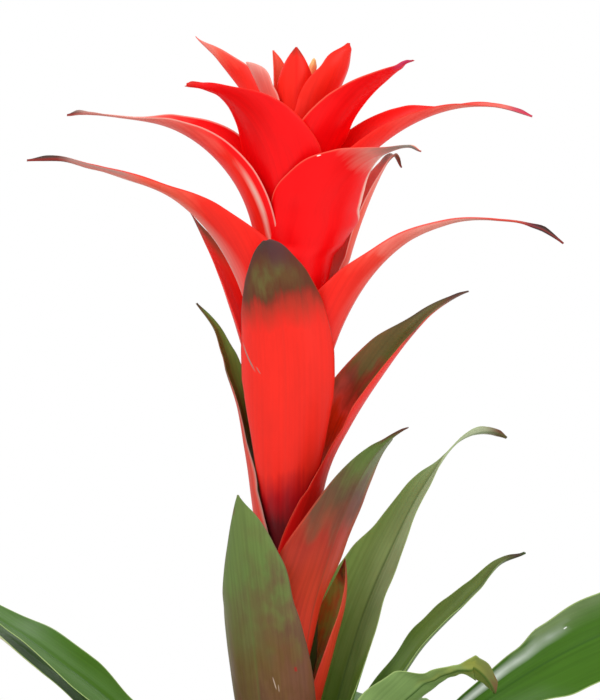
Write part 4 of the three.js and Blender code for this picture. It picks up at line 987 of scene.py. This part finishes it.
def paper():
    """The white card under the plant: matt, with the faint cloudiness and the tooth of card. It gives
    the eye a soft shadow and no edge."""
    material = blank_material("matt_white_card")
    tree = material.node_tree
    tone = add(tree, "MapRange", {"Value": grain(tree, CLOUDS), "To Min": 0.83, "To Max": 0.87})
    return surfaced(material, tone, roughness=0.9, specular=0.5, relief=grain(tree, TOOTH), strength=0.2,
                    depth=0.1)


def placed(name, data):
    """A new object in the scene, round a mesh, a lamp or a lens."""
    thing = bpy.data.objects.new(name, data)
    bpy.context.scene.collection.objects.link(thing)
    return thing


def show(name, mesh, material, replaced):
    mesh.materials.append(material)
    piece = placed(name, mesh)
    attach(piece, "root")
    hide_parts(replaced)


def pointing(direction):
    return Vector(direction).to_track_quat("-Z", "Y").to_euler()


def studio():
    """The floor and the light: a white sweep, seen as white, and soft boxes to the left, to the right
    and behind."""
    world = bpy.data.worlds.new("white_studio")
    bpy.context.scene.world = world
    world.use_nodes = True
    tree = world.node_tree
    tree.nodes.clear()
    seen = add(tree, "LightPath").outputs["Is Camera Ray"]
    strength = add(tree, "MapRange", {"Value": seen, "To Min": 0.68, "To Max": 1.0})
    light = add(tree, "Background", {"Color": (1, 1, 1, 1), "Strength": strength})
    add(tree, "OutputWorld", {"Surface": light})
    for name, place, power in SOFT_BOXES:
        lamp = bpy.data.lights.new(name, "AREA")
        lamp.shape = "DISK"
        lamp.size = SOFT_BOX * MM
        lamp.energy = power
        holder = placed(name, lamp)
        holder.location = np.array(place) * MM
        holder.rotation_euler = pointing(np.array(CAMERA_TARGET) - np.array(place))
    floor_mesh = bpy.data.meshes.new("floor")
    turns = np.linspace(0, 2 * math.pi, FLOOR_SIDES, endpoint=False)
    ring = [(FLOOR_RADIUS * MM * math.cos(turn), FLOOR_RADIUS * MM * math.sin(turn), 0) for turn in turns]
    floor_mesh.from_pydata(ring, [], [list(range(FLOOR_SIDES))])
    floor_mesh.materials.append(paper())
    placed("floor", floor_mesh)


def camera():
    lens = bpy.data.cameras.new("camera")
    lens.sensor_width = SENSOR
    lens.lens = SENSOR * CAMERA_DISTANCE / VIEW_HEIGHT
    lens.clip_start = 0.1
    lens.clip_end = 20
    holder = placed("camera", lens)
    rise = math.radians(CAMERA_ELEVATION)
    back = np.array([0, -math.cos(rise), math.sin(rise)])
    holder.location = (np.array(CAMERA_TARGET) + back * CAMERA_DISTANCE) * MM
    holder.rotation_euler = pointing(-back)
    bpy.context.scene.camera = holder
    bpy.context.scene.view_settings.view_transform = "Standard"


for number, (node, row) in enumerate([*BRACTS.items(), *LEAVES.items()]):
    defaults, columns = LEAF_DEFAULTS, LEAF_COLUMNS
    if node in BRACTS:
        defaults, columns = BRACT_DEFAULTS, BRACT_COLUMNS
    blade = {**defaults, **dict(zip(columns, row)), **DETAILS.get(node, {})}
    finish, slot = KINDS[node]
    material = tissue(f"{node}_tissue", {**finish, **LOOKS.get(node, {})}, number)
    show(f"{node}_blade", blade_mesh(f"{node}_blade", blade), material, node)
show("stem_stalk", stem_mesh(), stalk_tissue(), "stem")
show("florets_head", florets_mesh(), petal_tissue(), "florets")
studio()
camera()
